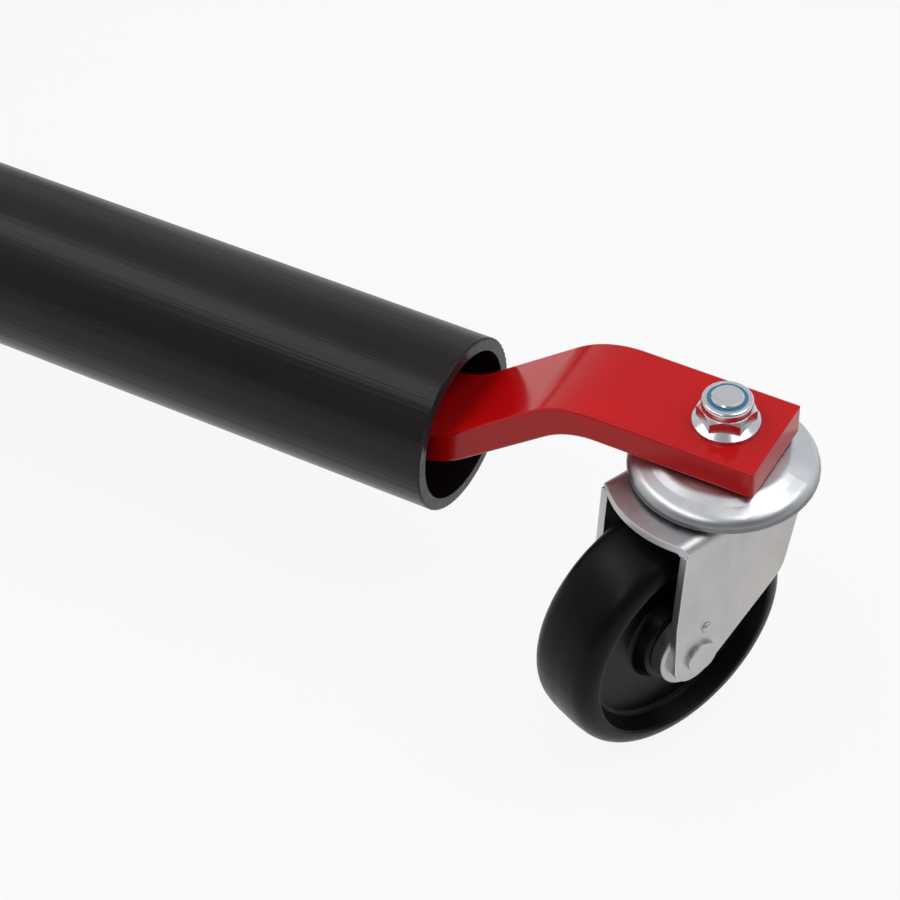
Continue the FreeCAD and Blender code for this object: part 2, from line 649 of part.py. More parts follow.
def cylinder_brackets():
    """Two plates on the back of the beam that hold the ram tube."""
    reach = RAM_RADIUS + BRACKET_WALL
    height = min(reach, BEAM_SIZE / 2)
    rounding = RAM_RADIUS - BRACKET_WALL
    corners = [(0, -height, 0), (0, height, 0), (-RAM_SETBACK - reach, height, rounding),
               (-RAM_SETBACK - reach, -height, rounding)]
    plates = []
    for share in BRACKET_SHARES:
        y = pump_end_y + share * (outer_end_y - pump_end_y) - BRACKET_THICKNESS / 2
        plate = extruded(corners, Vector(beam_back_x, y, beam_z), X_AXIS, Z_AXIS, Y_AXIS * BRACKET_THICKNESS)
        hole = Part.makeCylinder(RAM_RADIUS, BRACKET_THICKNESS, Vector(ram_x, y, beam_z), Y_AXIS)
        plates.append(plate.cut(hole))
    return group(plates)


def ram_piston():
    """Piston on the inner end of the rod."""
    start = Vector(ram_x, piston_y, beam_z)
    return ring(RAM_BORE_RADIUS - RUNNING_FIT, PISTON_ROD_RADIUS, start, PISTON_LENGTH, Y_AXIS)


def piston_rod():
    """Ram rod with a flattened tang for its pin."""
    length = rod_pin_y + ROD_LUG_RADIUS - piston_y
    rod = Part.makeCylinder(PISTON_ROD_RADIUS, length, Vector(ram_x, piston_y, beam_z), Y_AXIS)
    half = ROD_TANG_HEIGHT / 2
    start = rod_pin_y - ROD_LUG_RADIUS
    for low in (beam_z + half, beam_z - half - PISTON_ROD_RADIUS):
        corner = Vector(ram_x - PISTON_ROD_RADIUS, start, low)
        flat = Vector(2 * PISTON_ROD_RADIUS, 2 * ROD_LUG_RADIUS, PISTON_ROD_RADIUS)
        rod = rod.cut(box_between(corner, corner + flat))
    hole = Part.makeCylinder(ROD_PIN_RADIUS, ROD_TANG_HEIGHT, Vector(ram_x, rod_pin_y, beam_z - half))
    return rod.cut(hole)


def rod_pin():
    """Headed pin through the ears and the rod's tang."""
    reach = ROD_LUG_GAP / 2 + ROD_LUG_THICKNESS
    shank = Part.makeCylinder(ROD_PIN_RADIUS, 2 * reach, Vector(ram_x, rod_pin_y, beam_z - reach))
    head = Part.makeCylinder(ROD_PIN_HEAD_RADIUS, ROD_PIN_HEAD, Vector(ram_x, rod_pin_y, beam_z + reach))
    return shank.fuse(head).removeSplitter()


def pump_body():
    """Cast pump body with the ram's end bore, the pedal's ears and the plunger's boss."""
    corners = [(0, pump_bottom, 0), (0, pump_top, 0), (-PUMP_DEPTH, pump_top, PUMP_ROUND),
               (-PUMP_DEPTH, pump_bottom, PUMP_ROUND)]
    shape = extruded(corners, Vector(beam_back_x, pump_start_y, 0), X_AXIS, Z_AXIS, Y_AXIS * PUMP_WIDTH)
    flange = box_between(Vector(beam_back_x - FLANGE_THICKNESS, pump_start_y - FLANGE_WIDTH, pump_bottom),
                         Vector(beam_back_x, pump_start_y, pump_top))
    boss = Part.makeCylinder(PLUNGER_BOSS_RADIUS, PLUNGER_BOSS_HEIGHT, Vector(plunger_x, pump_y, pump_top))
    shape = shape.fuse(flange).fuse(boss)
    rise = pedal_pivot_z + EAR_RADIUS
    ear_corners = [(-EAR_RADIUS, pump_top, 0), (EAR_RADIUS, pump_top, 0), (EAR_RADIUS, rise, EAR_RADIUS),
                   (-EAR_RADIUS, rise, EAR_RADIUS)]
    for y in (pump_y - EAR_GAP / 2 - EAR_THICKNESS, pump_y + EAR_GAP / 2):
        ear = extruded(ear_corners, Vector(ram_x, y, 0), X_AXIS, Z_AXIS, Y_AXIS * EAR_THICKNESS)
        shape = shape.fuse(ear)
    pin_start = Vector(ram_x, pump_start_y, pedal_pivot_z)
    ram_start = Vector(ram_x, ram_bore_y, beam_z)
    cuts = [Part.makeCylinder(PEDAL_PIN_RADIUS, PUMP_WIDTH, pin_start, Y_AXIS),
            Part.makeCylinder(RAM_BORE_RADIUS, pump_end_y - ram_bore_y, ram_start, Y_AXIS)]
    depth = PLUNGER_DEPTH + PLUNGER_STROKE + PLUNGER_BORE_SPARE
    plunger_start = Vector(plunger_x, pump_y, spring_foot_z - depth)
    cuts.append(Part.makeCylinder(PLUNGER_RADIUS + RUNNING_FIT, depth, plunger_start))
    valve_start = Vector(beam_back_x - PUMP_DEPTH, pump_y + VALVE_OFFSET, pump_bottom + VALVE_HEIGHT)
    valve_bore = VALVE_SPINDLE_RADIUS + RUNNING_FIT
    cuts.append(Part.makeCylinder(valve_bore, VALVE_DEPTH + FACE_GAP, valve_start, X_AXIS))
    for spread in (-FLANGE_BOLT_SPREAD / 2, FLANGE_BOLT_SPREAD / 2):
        start = Vector(beam_back_x - FLANGE_THICKNESS, pump_start_y - FLANGE_WIDTH / 2, beam_z + spread)
        cuts.append(Part.makeCylinder(BOLT_RADIUS, FLANGE_THICKNESS, start, X_AXIS))
    for cutter in cuts:
        shape = shape.cut(cutter)
    return shape.removeSplitter()


def pump_bolts():
    """Socket screws that hold the pump's flange to the beam."""
    bolts = []
    for spread in (-FLANGE_BOLT_SPREAD / 2, FLANGE_BOLT_SPREAD / 2):
        seat = Vector(beam_back_x - FLANGE_THICKNESS, pump_start_y - FLANGE_WIDTH / 2, beam_z + spread)
        shank = Part.makeCylinder(BOLT_RADIUS, FLANGE_THICKNESS + BEAM_WALL, seat, X_AXIS)
        head_start = seat - X_AXIS * BOLT_HEAD_HEIGHT
        head = Part.makeCylinder(BOLT_HEAD_RADIUS, BOLT_HEAD_HEIGHT, head_start, X_AXIS)
        socket = hexagon(2 * BOLT_SOCKET_RADIUS, head_start, BOLT_SOCKET_DEPTH, X_AXIS, Z_AXIS)
        bolts.append(shank.fuse(head).cut(socket).removeSplitter())
    return group(bolts)


def pedal_pivot_pin():
    """Headed pin through the pump's ears."""
    reach = EAR_GAP / 2 + EAR_THICKNESS
    tip = reach + PEDAL_PIN_HEAD
    corners = [(0, -reach, 0), (PEDAL_PIN_RADIUS, -reach, 0), (PEDAL_PIN_RADIUS, reach, 0),
               (PEDAL_PIN_HEAD_RADIUS, reach, 0), (PEDAL_PIN_HEAD_RADIUS, tip, PEDAL_PIN_HEAD / 2),
               (0, tip, 0)]
    return turned(corners, Vector(ram_x, pump_y, pedal_pivot_z), Y_AXIS)


def tilted(shape):
    """Tilt a level pedal piece up to its rest angle about the pivot."""
    placed = shape.copy()
    placed.rotate(Vector(ram_x, pump_y, pedal_pivot_z), Y_AXIS, PEDAL_TILT)
    return placed


def pedal_arm():
    """Pedal lever with its pivot eye, the lobe that drives the plunger and the foot plate."""
    pivot = Vector(ram_x, pump_y, pedal_pivot_z)
    side = pivot - Y_AXIS * (PEDAL_ARM_WIDTH / 2)
    eye = Part.makeCylinder(PEDAL_EYE_RADIUS, PEDAL_ARM_WIDTH, side, Y_AXIS)
    lobe = Part.makeCylinder(PEDAL_LOBE_RADIUS, PEDAL_ARM_WIDTH, side - X_AXIS * PEDAL_LEVER, Y_AXIS)
    bar = box_between(side + Vector(-PEDAL_LENGTH, 0, -PEDAL_ARM_BOTTOM),
                      side + Vector(0, PEDAL_ARM_WIDTH, PEDAL_ARM_TOP))
    half = PLATE_WIDTH / 2
    near = PLATE_LENGTH - PEDAL_LENGTH
    corners = [(-PEDAL_LENGTH, -half, PLATE_ROUND), (near, -half, PLATE_ROUND), (near, half, PLATE_ROUND),
               (-PEDAL_LENGTH, half, PLATE_ROUND)]
    plate = extruded(corners, pivot + Z_AXIS * PEDAL_ARM_TOP, X_AXIS, Y_AXIS, Z_AXIS * PLATE_THICKNESS)
    hole = Part.makeCylinder(PEDAL_PIN_RADIUS + RUNNING_FIT, PEDAL_ARM_WIDTH, side, Y_AXIS)
    return tilted(eye.fuse(lobe).fuse(bar).fuse(plate).cut(hole).removeSplitter())


def pedal_pad():
    """Rubber tread on the foot plate, ribbed across."""
    half = PLATE_WIDTH / 2 - PAD_MARGIN
    far = PAD_MARGIN - PEDAL_LENGTH
    near = PLATE_LENGTH - PEDAL_LENGTH - PAD_MARGIN
    rounding = PLATE_ROUND - PAD_MARGIN
    corners = [(far, -half, rounding), (near, -half, rounding),
               (near, half, rounding), (far, half, rounding)]
    foot = Vector(ram_x, pump_y, pedal_pivot_z + PEDAL_ARM_TOP + PLATE_THICKNESS)
    shape = extruded(corners, foot, X_AXIS, Y_AXIS, Z_AXIS * PAD_THICKNESS)
    pitch = (near - far - 2 * rounding) / PAD_RIB_COUNT
    groove = pitch * (1 - PAD_RIB_SHARE)
    for index in range(PAD_RIB_COUNT + 1):
        x = ram_x + far + rounding + index * pitch
        low = Vector(x - groove / 2, pump_y - half, foot.z + PAD_THICKNESS - PAD_RIB_HEIGHT)
        high = Vector(x + groove / 2, pump_y + half, foot.z + PAD_THICKNESS)
        shape = shape.cut(box_between(low, high))
    return tilted(shape)


def pump_plunger():
    """Plunger with the head that the pedal's lobe presses."""
    foot = spring_foot_z - PLUNGER_DEPTH
    head = plunger_top - PLUNGER_HEAD_HEIGHT
    corners = [(0, foot, 0), (PLUNGER_RADIUS, foot, 0), (PLUNGER_RADIUS, head, 0),
               (PLUNGER_HEAD_RADIUS, head, 0), (PLUNGER_HEAD_RADIUS, plunger_top, 0), (0, plunger_top, 0)]
    return turned(corners, Vector(plunger_x, pump_y, 0))


def half_arc(start, corner, end):
    """Arc from start to end, tangent to the lines that meet at the corner."""
    chord_middle = (start + end) / 2
    cosine = (end - start).Length / (2 * (corner - start).Length)
    middle = chord_middle + (corner - chord_middle) * (cosine / (1 + cosine))
    return Part.Arc(start, middle, end).toShape()


def plunger_spring():
    """Return spring between the boss and the plunger's head, wound on quarter-turn biarcs."""
    radius = PLUNGER_RADIUS + SPRING_SIDE_GAP + SPRING_WIRE_RADIUS
    foot = spring_foot_z + SPRING_WIRE_RADIUS
    climb = (SPRING_LENGTH - 2 * SPRING_WIRE_RADIUS) / SPRING_TURNS
    spots = []
    ways = []
    for index in range(4 * SPRING_TURNS + 1):
        angle = index * math.pi / 2
        spots.append(Vector(plunger_x + radius * math.cos(angle), pump_y + radius * math.sin(angle),
                            foot + climb * index / 4))
        way = Vector(-radius * math.sin(angle), radius * math.cos(angle), climb / (2 * math.pi))
        ways.append(way.normalize())
    edges = []
    for index in range(4 * SPRING_TURNS):
        start, end = spots[index], spots[index + 1]
        span = end - start
        pull = ways[index] + ways[index + 1]
        bend = 2 * (ways[index].dot(ways[index + 1]) - 1)
        reach = span.dot(pull)
        tangent = (reach - math.sqrt(reach * reach - bend * span.dot(span))) / bend
        first = start + ways[index] * tangent
        second = end - ways[index + 1] * tangent
        joint = (first + second) / 2
        edges.append(half_arc(start, first, joint))
        edges.append(half_arc(joint, second, end))
    wire = Part.Wire(edges)
    section = Part.Wire(Part.Circle(spots[0], ways[0], SPRING_WIRE_RADIUS).toShape())
    print("plunger_spring least gap to itself", round(climb - 2 * SPRING_WIRE_RADIUS, 2))
    return Part.Solid(wire.makePipeShell([section], True, False).Shells[0])


def release_valve():
    """Release screw with a wing to turn it by."""
    face = Vector(beam_back_x - PUMP_DEPTH, pump_y + VALVE_OFFSET, pump_bottom + VALVE_HEIGHT)
    length = VALVE_DEPTH + VALVE_NECK
    spindle = Part.makeCylinder(VALVE_SPINDLE_RADIUS, length, face - X_AXIS * VALVE_NECK, X_AXIS)
    collar_start = face - X_AXIS * (VALVE_NECK + VALVE_COLLAR_LENGTH)
    collar = Part.makeCylinder(VALVE_COLLAR_RADIUS, VALVE_COLLAR_LENGTH, collar_start, X_AXIS)
    half = VALVE_WING_LENGTH / 2
    wide = VALVE_WING_WIDTH / 2
    corners = [(-half, -wide, wide), (half, -wide, wide), (half, wide, wide), (-half, wide, wide)]
    wing = extruded(corners, collar_start, Y_AXIS, Z_AXIS, X_AXIS * -VALVE_WING_THICKNESS)
    return spindle.fuse(collar).fuse(wing).removeSplitter()


def lock_pin():
    """Lock pin parked above the inner beam, with a collar and a cross grip."""
    tip = beam_top - BEAM_WALL + LOCK_TIP_LIFT
    shoulder = beam_top + LOCK_BOSS_HEIGHT + LOCK_PIN_TRAVEL + FACE_GAP
    top = shoulder + LOCK_COLLAR_HEIGHT
    taper = LOCK_PIN_RADIUS / 3
    corners = [(0, tip, 0), (LOCK_PIN_RADIUS - taper, tip, 0), (LOCK_PIN_RADIUS, tip + taper, 0),
               (LOCK_PIN_RADIUS, shoulder, 0), (LOCK_COLLAR_RADIUS, shoulder, 0),
               (LOCK_COLLAR_RADIUS, top, 0), (0, top, 0)]
    pin = turned(corners, Vector(beam_x, lock_y, 0))
    start = Vector(beam_x, lock_y - LOCK_GRIP_LENGTH / 2, top + LOCK_GRIP_RADIUS / 2)
    half = LOCK_GRIP_LENGTH
    grip_corners = [(0, 0, 0), (LOCK_GRIP_RADIUS, 0, LOCK_GRIP_RADIUS / 2),
                    (LOCK_GRIP_RADIUS, half, LOCK_GRIP_RADIUS / 2), (0, half, 0)]
    return pin.fuse(turned(grip_corners, start, Y_AXIS)).removeSplitter()


def build():
    """All sub-parts by node name."""
    nodes = {}
    casters = {"front_fixed": (front_stem_x, fixed_y, -FRONT_TRAIL_ANGLE),
               "rear_fixed": (rear_stem_x, fixed_y, -REAR_TRAIL_ANGLE),
               "front_sliding": (front_stem_x, sliding_y, FRONT_TRAIL_ANGLE),
               "rear_sliding": (rear_stem_x, sliding_y, REAR_TRAIL_ANGLE)}
    turning = {"fork": fork(), "wheel": wheel(), "wheel_bush": wheel_bush(), "axle_washers": axle_washers(),
               "wheel_axle": wheel_axle()}
    for place, (x, y, heading) in casters.items():
        for name, shape in turning.items():
            nodes[f"{place}_{name}"] = at_caster(shape, x, y, heading)
    seated = {"stems": [caster_stem()], "stem_nuts": [stem_nut()], "nut_inserts": [nut_insert()],
              "swivel_caps": [swivel_cap()], "swivel_balls": swivel_balls()}
    for side, y in (("fixed", fixed_y), ("sliding", sliding_y)):
        for name, shapes in seated.items():
            solids = [at_caster(shape, x, y, 0) for x in (front_stem_x, rear_stem_x) for shape in shapes]
            nodes[f"{side}_{name}"] = group(solids)
        nodes[f"{side}_front_bar"] = end_bar(roller_front_x, 1, front_stem_x, y)
        nodes[f"{side}_rear_bar"] = end_bar(roller_rear_x, -1, rear_stem_x, y)
        nodes[f"{side}_roller_axle"] = roller_axle(y)
        nodes[f"{side}_roller_tube"] = roller_tube(y)
        nodes[f"{side}_roller_bushes"] = roller_bushes(y)
    nodes["outer_beam"] = outer_beam()
    outer_bore = BEAM_SIZE - 2 * BEAM_WALL
    nodes["outer_beam_plug"] = beam_plug(outer_bore, BEAM_CORNER - BEAM_WALL, outer_start_y, -1)
    nodes["inner_beam"] = inner_beam()
    nodes["inner_beam_plug"] = beam_plug(inner_size - 2 * INNER_WALL, 0, inner_end_y, 1)
    nodes["slide_head"] = slide_head()
    for make in (ram_cylinder, gland_nut, cylinder_brackets, ram_piston, piston_rod, rod_pin, pump_body,
                 pump_bolts, pedal_pivot_pin, pedal_arm, pedal_pad, pump_plunger, plunger_spring,
                 release_valve, lock_pin):
        nodes[make.__name__] = make()
    return nodes


os.makedirs("parts", exist_ok=True)
for node_name, node_shape in build().items():
    node_shape.exportStep(f"parts/{node_name}.step")
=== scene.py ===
import json
import logging
import math
from dataclasses import dataclass
from enum import Enum
from typing import Any

import bmesh
import bpy
from mathutils import Matrix, Vector


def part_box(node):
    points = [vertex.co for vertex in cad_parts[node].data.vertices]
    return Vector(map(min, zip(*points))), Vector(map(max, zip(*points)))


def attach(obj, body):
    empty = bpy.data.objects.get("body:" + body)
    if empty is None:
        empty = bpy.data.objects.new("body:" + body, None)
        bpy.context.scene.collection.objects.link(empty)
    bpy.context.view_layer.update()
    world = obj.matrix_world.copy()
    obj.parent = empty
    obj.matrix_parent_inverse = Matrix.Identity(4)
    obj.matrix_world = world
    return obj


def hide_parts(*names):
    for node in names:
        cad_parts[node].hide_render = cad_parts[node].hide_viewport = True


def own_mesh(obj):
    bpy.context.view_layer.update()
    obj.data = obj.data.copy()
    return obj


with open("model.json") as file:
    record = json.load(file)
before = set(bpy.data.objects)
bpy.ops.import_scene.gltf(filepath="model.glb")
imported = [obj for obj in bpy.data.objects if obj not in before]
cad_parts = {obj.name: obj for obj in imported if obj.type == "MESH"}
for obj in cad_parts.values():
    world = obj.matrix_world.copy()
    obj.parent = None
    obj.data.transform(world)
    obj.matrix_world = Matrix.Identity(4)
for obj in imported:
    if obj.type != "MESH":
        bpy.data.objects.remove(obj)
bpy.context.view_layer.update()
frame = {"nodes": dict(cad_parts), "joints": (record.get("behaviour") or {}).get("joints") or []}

LOG = logging.getLogger("positioning_jack")
MM = 0.001
SEED = 7
SMOOTH_ANGLE = math.radians(35)
MERGE_GAP = 0.001

# Sockets of the Mix node that take and give colours
MIX_SHARE = 0
MIX_FIRST = 6
MIX_SECOND = 7
MIX_RESULT = 2

# Every noise has the same make-up, and these spans of its value are spread over the whole of what it drives
NOISE = {"Detail": 4.0, "Roughness": 0.6}
CLOUD_SPAN = (0.35, 0.65)
GLOSS_SPAN = (0.3, 0.7)
BLUE_SPAN = (0.5, 0.7)
STRAW_SPAN = (0.5, 0.3)
# Grains across one patch of even gloss
PATCH_GRAINS = 5
# Cosines of the turn at which an edge begins to be lightened, partly as wear and partly as a painted
# highlight, and at which it is lightened in full
EDGE_SPAN = (0.99, 0.9)
EDGE_SAMPLES = 4

# A Geometry Nodes tree that starts from nothing still needs a line to run on
STUB = [[(0.0, 0.0, 0.0), (0.0, 0.0, 1.0)]]

Point = tuple[float, float, float]
Span = tuple[float, float]
Socket = bpy.types.NodeSocket
Tree = bpy.types.NodeTree


class Side(Enum):
    """The two arms of the jack, by how the beam holds them."""

    FIXED = "fixed"
    SLIDING = "sliding"

    @property
    def body(self) -> str:
        """Body that carries this arm."""
        return "frame" if self is Side.FIXED else "slider"

    @property
    def carrier(self) -> str:
        """Node that this arm's rear bar is welded to."""
        return "outer_beam" if self is Side.FIXED else "slide_head"


class End(Enum):
    """The two ends of an arm: FRONT is the free one."""

    FRONT = "front"
    REAR = "rear"


def linear(colour: str) -> tuple[float, float, float, float]:
    """Turn an sRGB hex colour into linear light.

    Args:
        colour: Colour as "#RRGGBB".

    Returns:
        Linear red, green and blue, with full alpha.
    """
    channels = [int(colour[start:start + 2], 16) / 255 for start in (1, 3, 5)]
    light = [c / 12.92 if c <= 0.04045 else ((c + 0.055) / 1.055) ** 2.4 for c in channels]
    return (light[0], light[1], light[2], 1.0)


def add_node(tree: Tree, kind: str, settings: dict[str, Any] | None = None,
             inputs: dict[str | int, Any] | None = None) -> bpy.types.Node:
    """Add one node with its settings, values and links.

    Args:
        tree: Node tree that takes the node.
        kind: Blender's name of the node type.
        settings: Attributes to set on the node.
        inputs: Value or output socket for each input, by its name or number.

    Returns:
        The new node.
    """
    made = tree.nodes.new(kind)
    for name, value in (settings or {}).items():
        setattr(made, name, value)
    for socket, value in (inputs or {}).items():
        if isinstance(value, Socket):
            tree.links.new(value, made.inputs[socket])
        else:
            made.inputs[socket].default_value = value
    return made


@dataclass(frozen=True)
class Finish:
    """A real surface and the marks that its making leaves, with sizes in millimetres.

    The surface drifts from colour to shade in blotches as large as cloud. Its grain stands grain_height
    high, and draw_out stretches the grain along X, Y and Z. Its edges are rounded by edge, and there a share
    of a lighter edge colour shows, partly as wear and partly as a painted highlight along the edges.
    """

    name: str
    slot: str
    colour: str
    shade: str
    cloud: float
    roughness: Span
    grain: float
    grain_height: float
    edge: float
    # Lighter colour along the edges, partly wear and partly a painted highlight, and the share of it that
    # shows
    edge_wear_and_highlight_colour: str
    edge_wear_and_highlight_share: float = 0.4
    metallic: float = 0.0
    specular: float = 0.5
    draw_out: Point = (1.0, 1.0, 1.0)

    def colouring(self, tree: Tree, place: Socket) -> Socket:
        """Clouded colour of the surface.

        Args:
            tree: Material's node tree.
            place: Coordinates in metres.

        Returns:
            Socket with the colour.
        """
        clouds = add_node(tree, "ShaderNodeTexNoise", None, {
            "Vector": place, "Scale": 1 / (self.cloud * MM), **NOISE})
        share = add_node(tree, "ShaderNodeMapRange", None, {
            "Value": clouds.outputs[0], "From Min": CLOUD_SPAN[0], "From Max": CLOUD_SPAN[1]})
        return add_node(tree, "ShaderNodeMix", {"data_type": "RGBA"}, {
            MIX_SHARE: share.outputs[0], MIX_FIRST: linear(self.colour),
            MIX_SECOND: linear(self.shade)}).outputs[MIX_RESULT]

    def edge_wear_and_highlight(self, tree: Tree, rounded: Socket, colour: Socket) -> Socket:
        """Colour lightened along its edges, partly as wear and partly as a painted highlight, found where
        the rounded normal leaves the plain one.

        Args:
            tree: Material's node tree.
            rounded: Normal with the edges rounded off.
            colour: Colour away from the edges.

        Returns:
            Socket with the colour.
        """
        plain = add_node(tree, "ShaderNodeNewGeometry").outputs["Normal"]
        turn = add_node(tree, "ShaderNodeVectorMath", {"operation": "DOT_PRODUCT"}, {0: rounded, 1: plain})
        share = add_node(tree, "ShaderNodeMapRange", None, {
            "Value": turn.outputs["Value"], "From Min": EDGE_SPAN[0], "From Max": EDGE_SPAN[1],
            "To Max": self.edge_wear_and_highlight_share})
        return add_node(tree, "ShaderNodeMix", {"data_type": "RGBA"}, {
            MIX_SHARE: share.outputs[0], MIX_FIRST: colour,
            MIX_SECOND: linear(self.edge_wear_and_highlight_colour)}).outputs[MIX_RESULT]

    def material(self) -> bpy.types.Material:
        """Material with this finish, made once.

        Returns:
            The material.
        """
        made = bpy.data.materials.get(self.name)
        if made:
            return made
        made = bpy.data.materials.new(self.name)
        made.use_nodes = True
        tree = made.node_tree
        tree.nodes.clear()
        place = add_node(tree, "ShaderNodeTexCoord").outputs["Object"]
        rounded = add_node(tree, "ShaderNodeBevel", {"samples": EDGE_SAMPLES}, {
            "Radius": self.edge * MM}).outputs[0]
        # The edges are lightened, partly as wear and partly as a painted highlight
        colour = self.edge_wear_and_highlight(tree, rounded, self.colouring(tree, place))
        drawn = add_node(tree, "ShaderNodeMapping", None, {
            "Vector": place, "Scale": [1 / share for share in self.draw_out]}).outputs["Vector"]
        grain = add_node(tree, "ShaderNodeTexNoise", None, {
            "Vector": drawn, "Scale": 1 / (self.grain * MM), **NOISE})
        bump = add_node(tree, "ShaderNodeBump", None, {
            "Strength": 1.0, "Distance": self.grain_height * MM, "Height": grain.outputs[0],
            "Normal": rounded})
        patches = add_node(tree, "ShaderNodeTexNoise", None, {
            "Vector": drawn, "Scale": 1 / (self.grain * PATCH_GRAINS * MM), **NOISE})
        gloss = add_node(tree, "ShaderNodeMapRange", None, {
            "Value": patches.outputs[0], "From Min": GLOSS_SPAN[0], "From Max": GLOSS_SPAN[1],
            "To Min": self.roughness[0], "To Max": self.roughness[1]})
        surface = add_node(tree, "ShaderNodeBsdfPrincipled", None, {
            "Base Color": colour, "Roughness": gloss.outputs[0], "Metallic": self.metallic,
            "Specular IOR Level": self.specular, "Normal": bump.outputs["Normal"]})
        add_node(tree, "ShaderNodeOutputMaterial", None, {"Surface": surface.outputs["BSDF"]})
        return made


@dataclass(frozen=True)
class PlatedZinc(Finish):
    """Zinc plate, whose clear passivation leaves faint blue and straw tints as large as tint."""

    blue: str = "#A9BACB"
    straw: str = "#CBC2A8"
    tint: float = 45.0
    tint_share: float = 0.3

    def colouring(self, tree: Tree, place: Socket) -> Socket:
        """Silver that drifts to blue in some places and to straw in others.

        Args:
            tree: Material's node tree.
            place: Coordinates in metres.

        Returns:
            Socket with the colour.
        """
        colour = super().colouring(tree, place)
        drift = add_node(tree, "ShaderNodeTexNoise", None, {
            "Vector": place, "Scale": 1 / (self.tint * MM), **NOISE}).outputs[0]
        for (least, most), tinge in ((BLUE_SPAN, self.blue), (STRAW_SPAN, self.straw)):
            share = add_node(tree, "ShaderNodeMapRange", None, {
                "Value": drift, "From Min": least, "From Max": most, "To Max": self.tint_share})
            colour = add_node(tree, "ShaderNodeMix", {"data_type": "RGBA"}, {
                MIX_SHARE: share.outputs[0], MIX_FIRST: colour,
                MIX_SECOND: linear(tinge)}).outputs[MIX_RESULT]
        return colour


@dataclass(frozen=True)
class WallShadedZinc(PlatedZinc):
    """Zinc plate on a deep pressing, with painted shade: its walls, which face sideways, are painted dark
    grey.

    The painted shade on the walls comes in over a span of the share of the normal that points up.
    """

    # Dark grey painted shade for the walls that face sideways
    wall_shade: str = "#75777A"
    wall_shade_span: Span = (0.8, 0.2)

    def colouring(self, tree: Tree, place: Socket) -> Socket:
        """Bright plate on the face and painted dark shade down the wall, which faces sideways.

        Args:
            tree: Material's node tree.
            place: Coordinates in metres.

        Returns:
            Socket with the colour.
        """
        face = super().colouring(tree, place)
        way = add_node(tree, "ShaderNodeTexCoord").outputs["Normal"]
        rise = add_node(tree, "ShaderNodeSeparateXYZ", None, {0: way}).outputs["Z"]
        # Painted shade: darker as the surface turns to face sideways
        share = add_node(tree, "ShaderNodeMapRange", None, {
            "Value": rise, "From Min": self.wall_shade_span[0], "From Max": self.wall_shade_span[1]})
        return add_node(tree, "ShaderNodeMix", {"data_type": "RGBA"}, {
            MIX_SHARE: share.outputs[0], MIX_FIRST: face,
            MIX_SECOND: linear(self.wall_shade)}).outputs[MIX_RESULT]


@dataclass(frozen=True)
class RollerPaint(Finish):
    """Black stoving paint on a tube whose ends were sawn and painted thinly.

    The sawn ends' colour comes in over end_span, the share of the normal that points along the tube.
    """

    sawn: str = "#2B2A2B"
    end_span: Span = (0.8, 0.95)

    def colouring(self, tree: Tree, place: Socket) -> Socket:
        """Black along the tube and dark grey on its sawn ends, which face along X.

        Args:
            tree: Material's node tree.
            place: Coordinates in metres.

        Returns:
            Socket with the colour.
        """
        length = super().colouring(tree, place)
        way = add_node(tree, "ShaderNodeTexCoord").outputs["Normal"]
        along = add_node(tree, "ShaderNodeSeparateXYZ", None, {0: way}).outputs["X"]
        endward = add_node(tree, "ShaderNodeMath", {"operation": "ABSOLUTE"}, {0: along}).outputs[0]
        share = add_node(tree, "ShaderNodeMapRange", None, {
            "Value": endward, "From Min": self.end_span[0], "From Max": self.end_span[1]})
        return add_node(tree, "ShaderNodeMix", {"data_type": "RGBA"}, {
            MIX_SHARE: share.outputs[0], MIX_FIRST: length,
            MIX_SECOND: linear(self.sawn)}).outputs[MIX_RESULT]


# Gloss enamel sprayed on steel bar: deep red with a slight orange peel that softens its reflections
RED_ENAMEL = Finish(
    "red_gloss_enamel", "red_enamel", colour="#C20C0F", shade="#B60A0D", cloud=70, roughness=(0.12, 0.2),
    grain=2.2, grain_height=0.009, edge=0.7, edge_wear_and_highlight_colour="#C2221F", specular=0.22)
# Black stoving paint on drawn tube: satin, with faint drawing lines along it, drawn wide enough to show
ROLLER_BLACK = RollerPaint(
    "black_stoving_paint", "black_powder_coat", colour="#191415", shade="#1E1919", cloud=60,
    roughness=(0.24, 0.34), grain=7.0, grain_height=0.45, edge=0.6, edge_wear_and_highlight_colour="#343233", edge_wear_and_highlight_share=0.5,
    specular=0.21, draw_out=(150.0, 1.0, 1.0))
# Black powder coat on the ram: satin with a fine even pebble
RAM_BLACK = Finish(
    "black_powder_coat", "black_powder_coat", colour="#101011", shade="#151516", cloud=50,
    roughness=(0.4, 0.5), grain=1.0, grain_height=0.03, edge=0.6, edge_wear_and_highlight_colour="#2C2C2D")
# Bright zinc on turned and pressed steel: clear silver, a little cloudy, with faint tints
BRIGHT_ZINC = PlatedZinc(
    "bright_zinc_plate", "zinc_plate", colour="#D6D8DB", shade="#C6C9CD", cloud=18, roughness=(0.13, 0.22),
    grain=1.5, grain_height=0.006, edge=0.35, edge_wear_and_highlight_colour="#E6E7E9", metallic=1.0)
# Zinc on a deep pressing: more milky, because drawing roughens the sheet under the plate; its sideways walls
# carry painted shade
PRESSED_ZINC = WallShadedZinc(
    "milky_zinc_pressing", "zinc_plate", colour="#D4D7DA", shade="#C7CACE", cloud=14, roughness=(0.3, 0.4),
    grain=1.2, grain_height=0.008, edge=0.4, edge_wear_and_highlight_colour="#E6E7E9", edge_wear_and_highlight_share=0.2, metallic=1.0,
    tint_share=0.2)
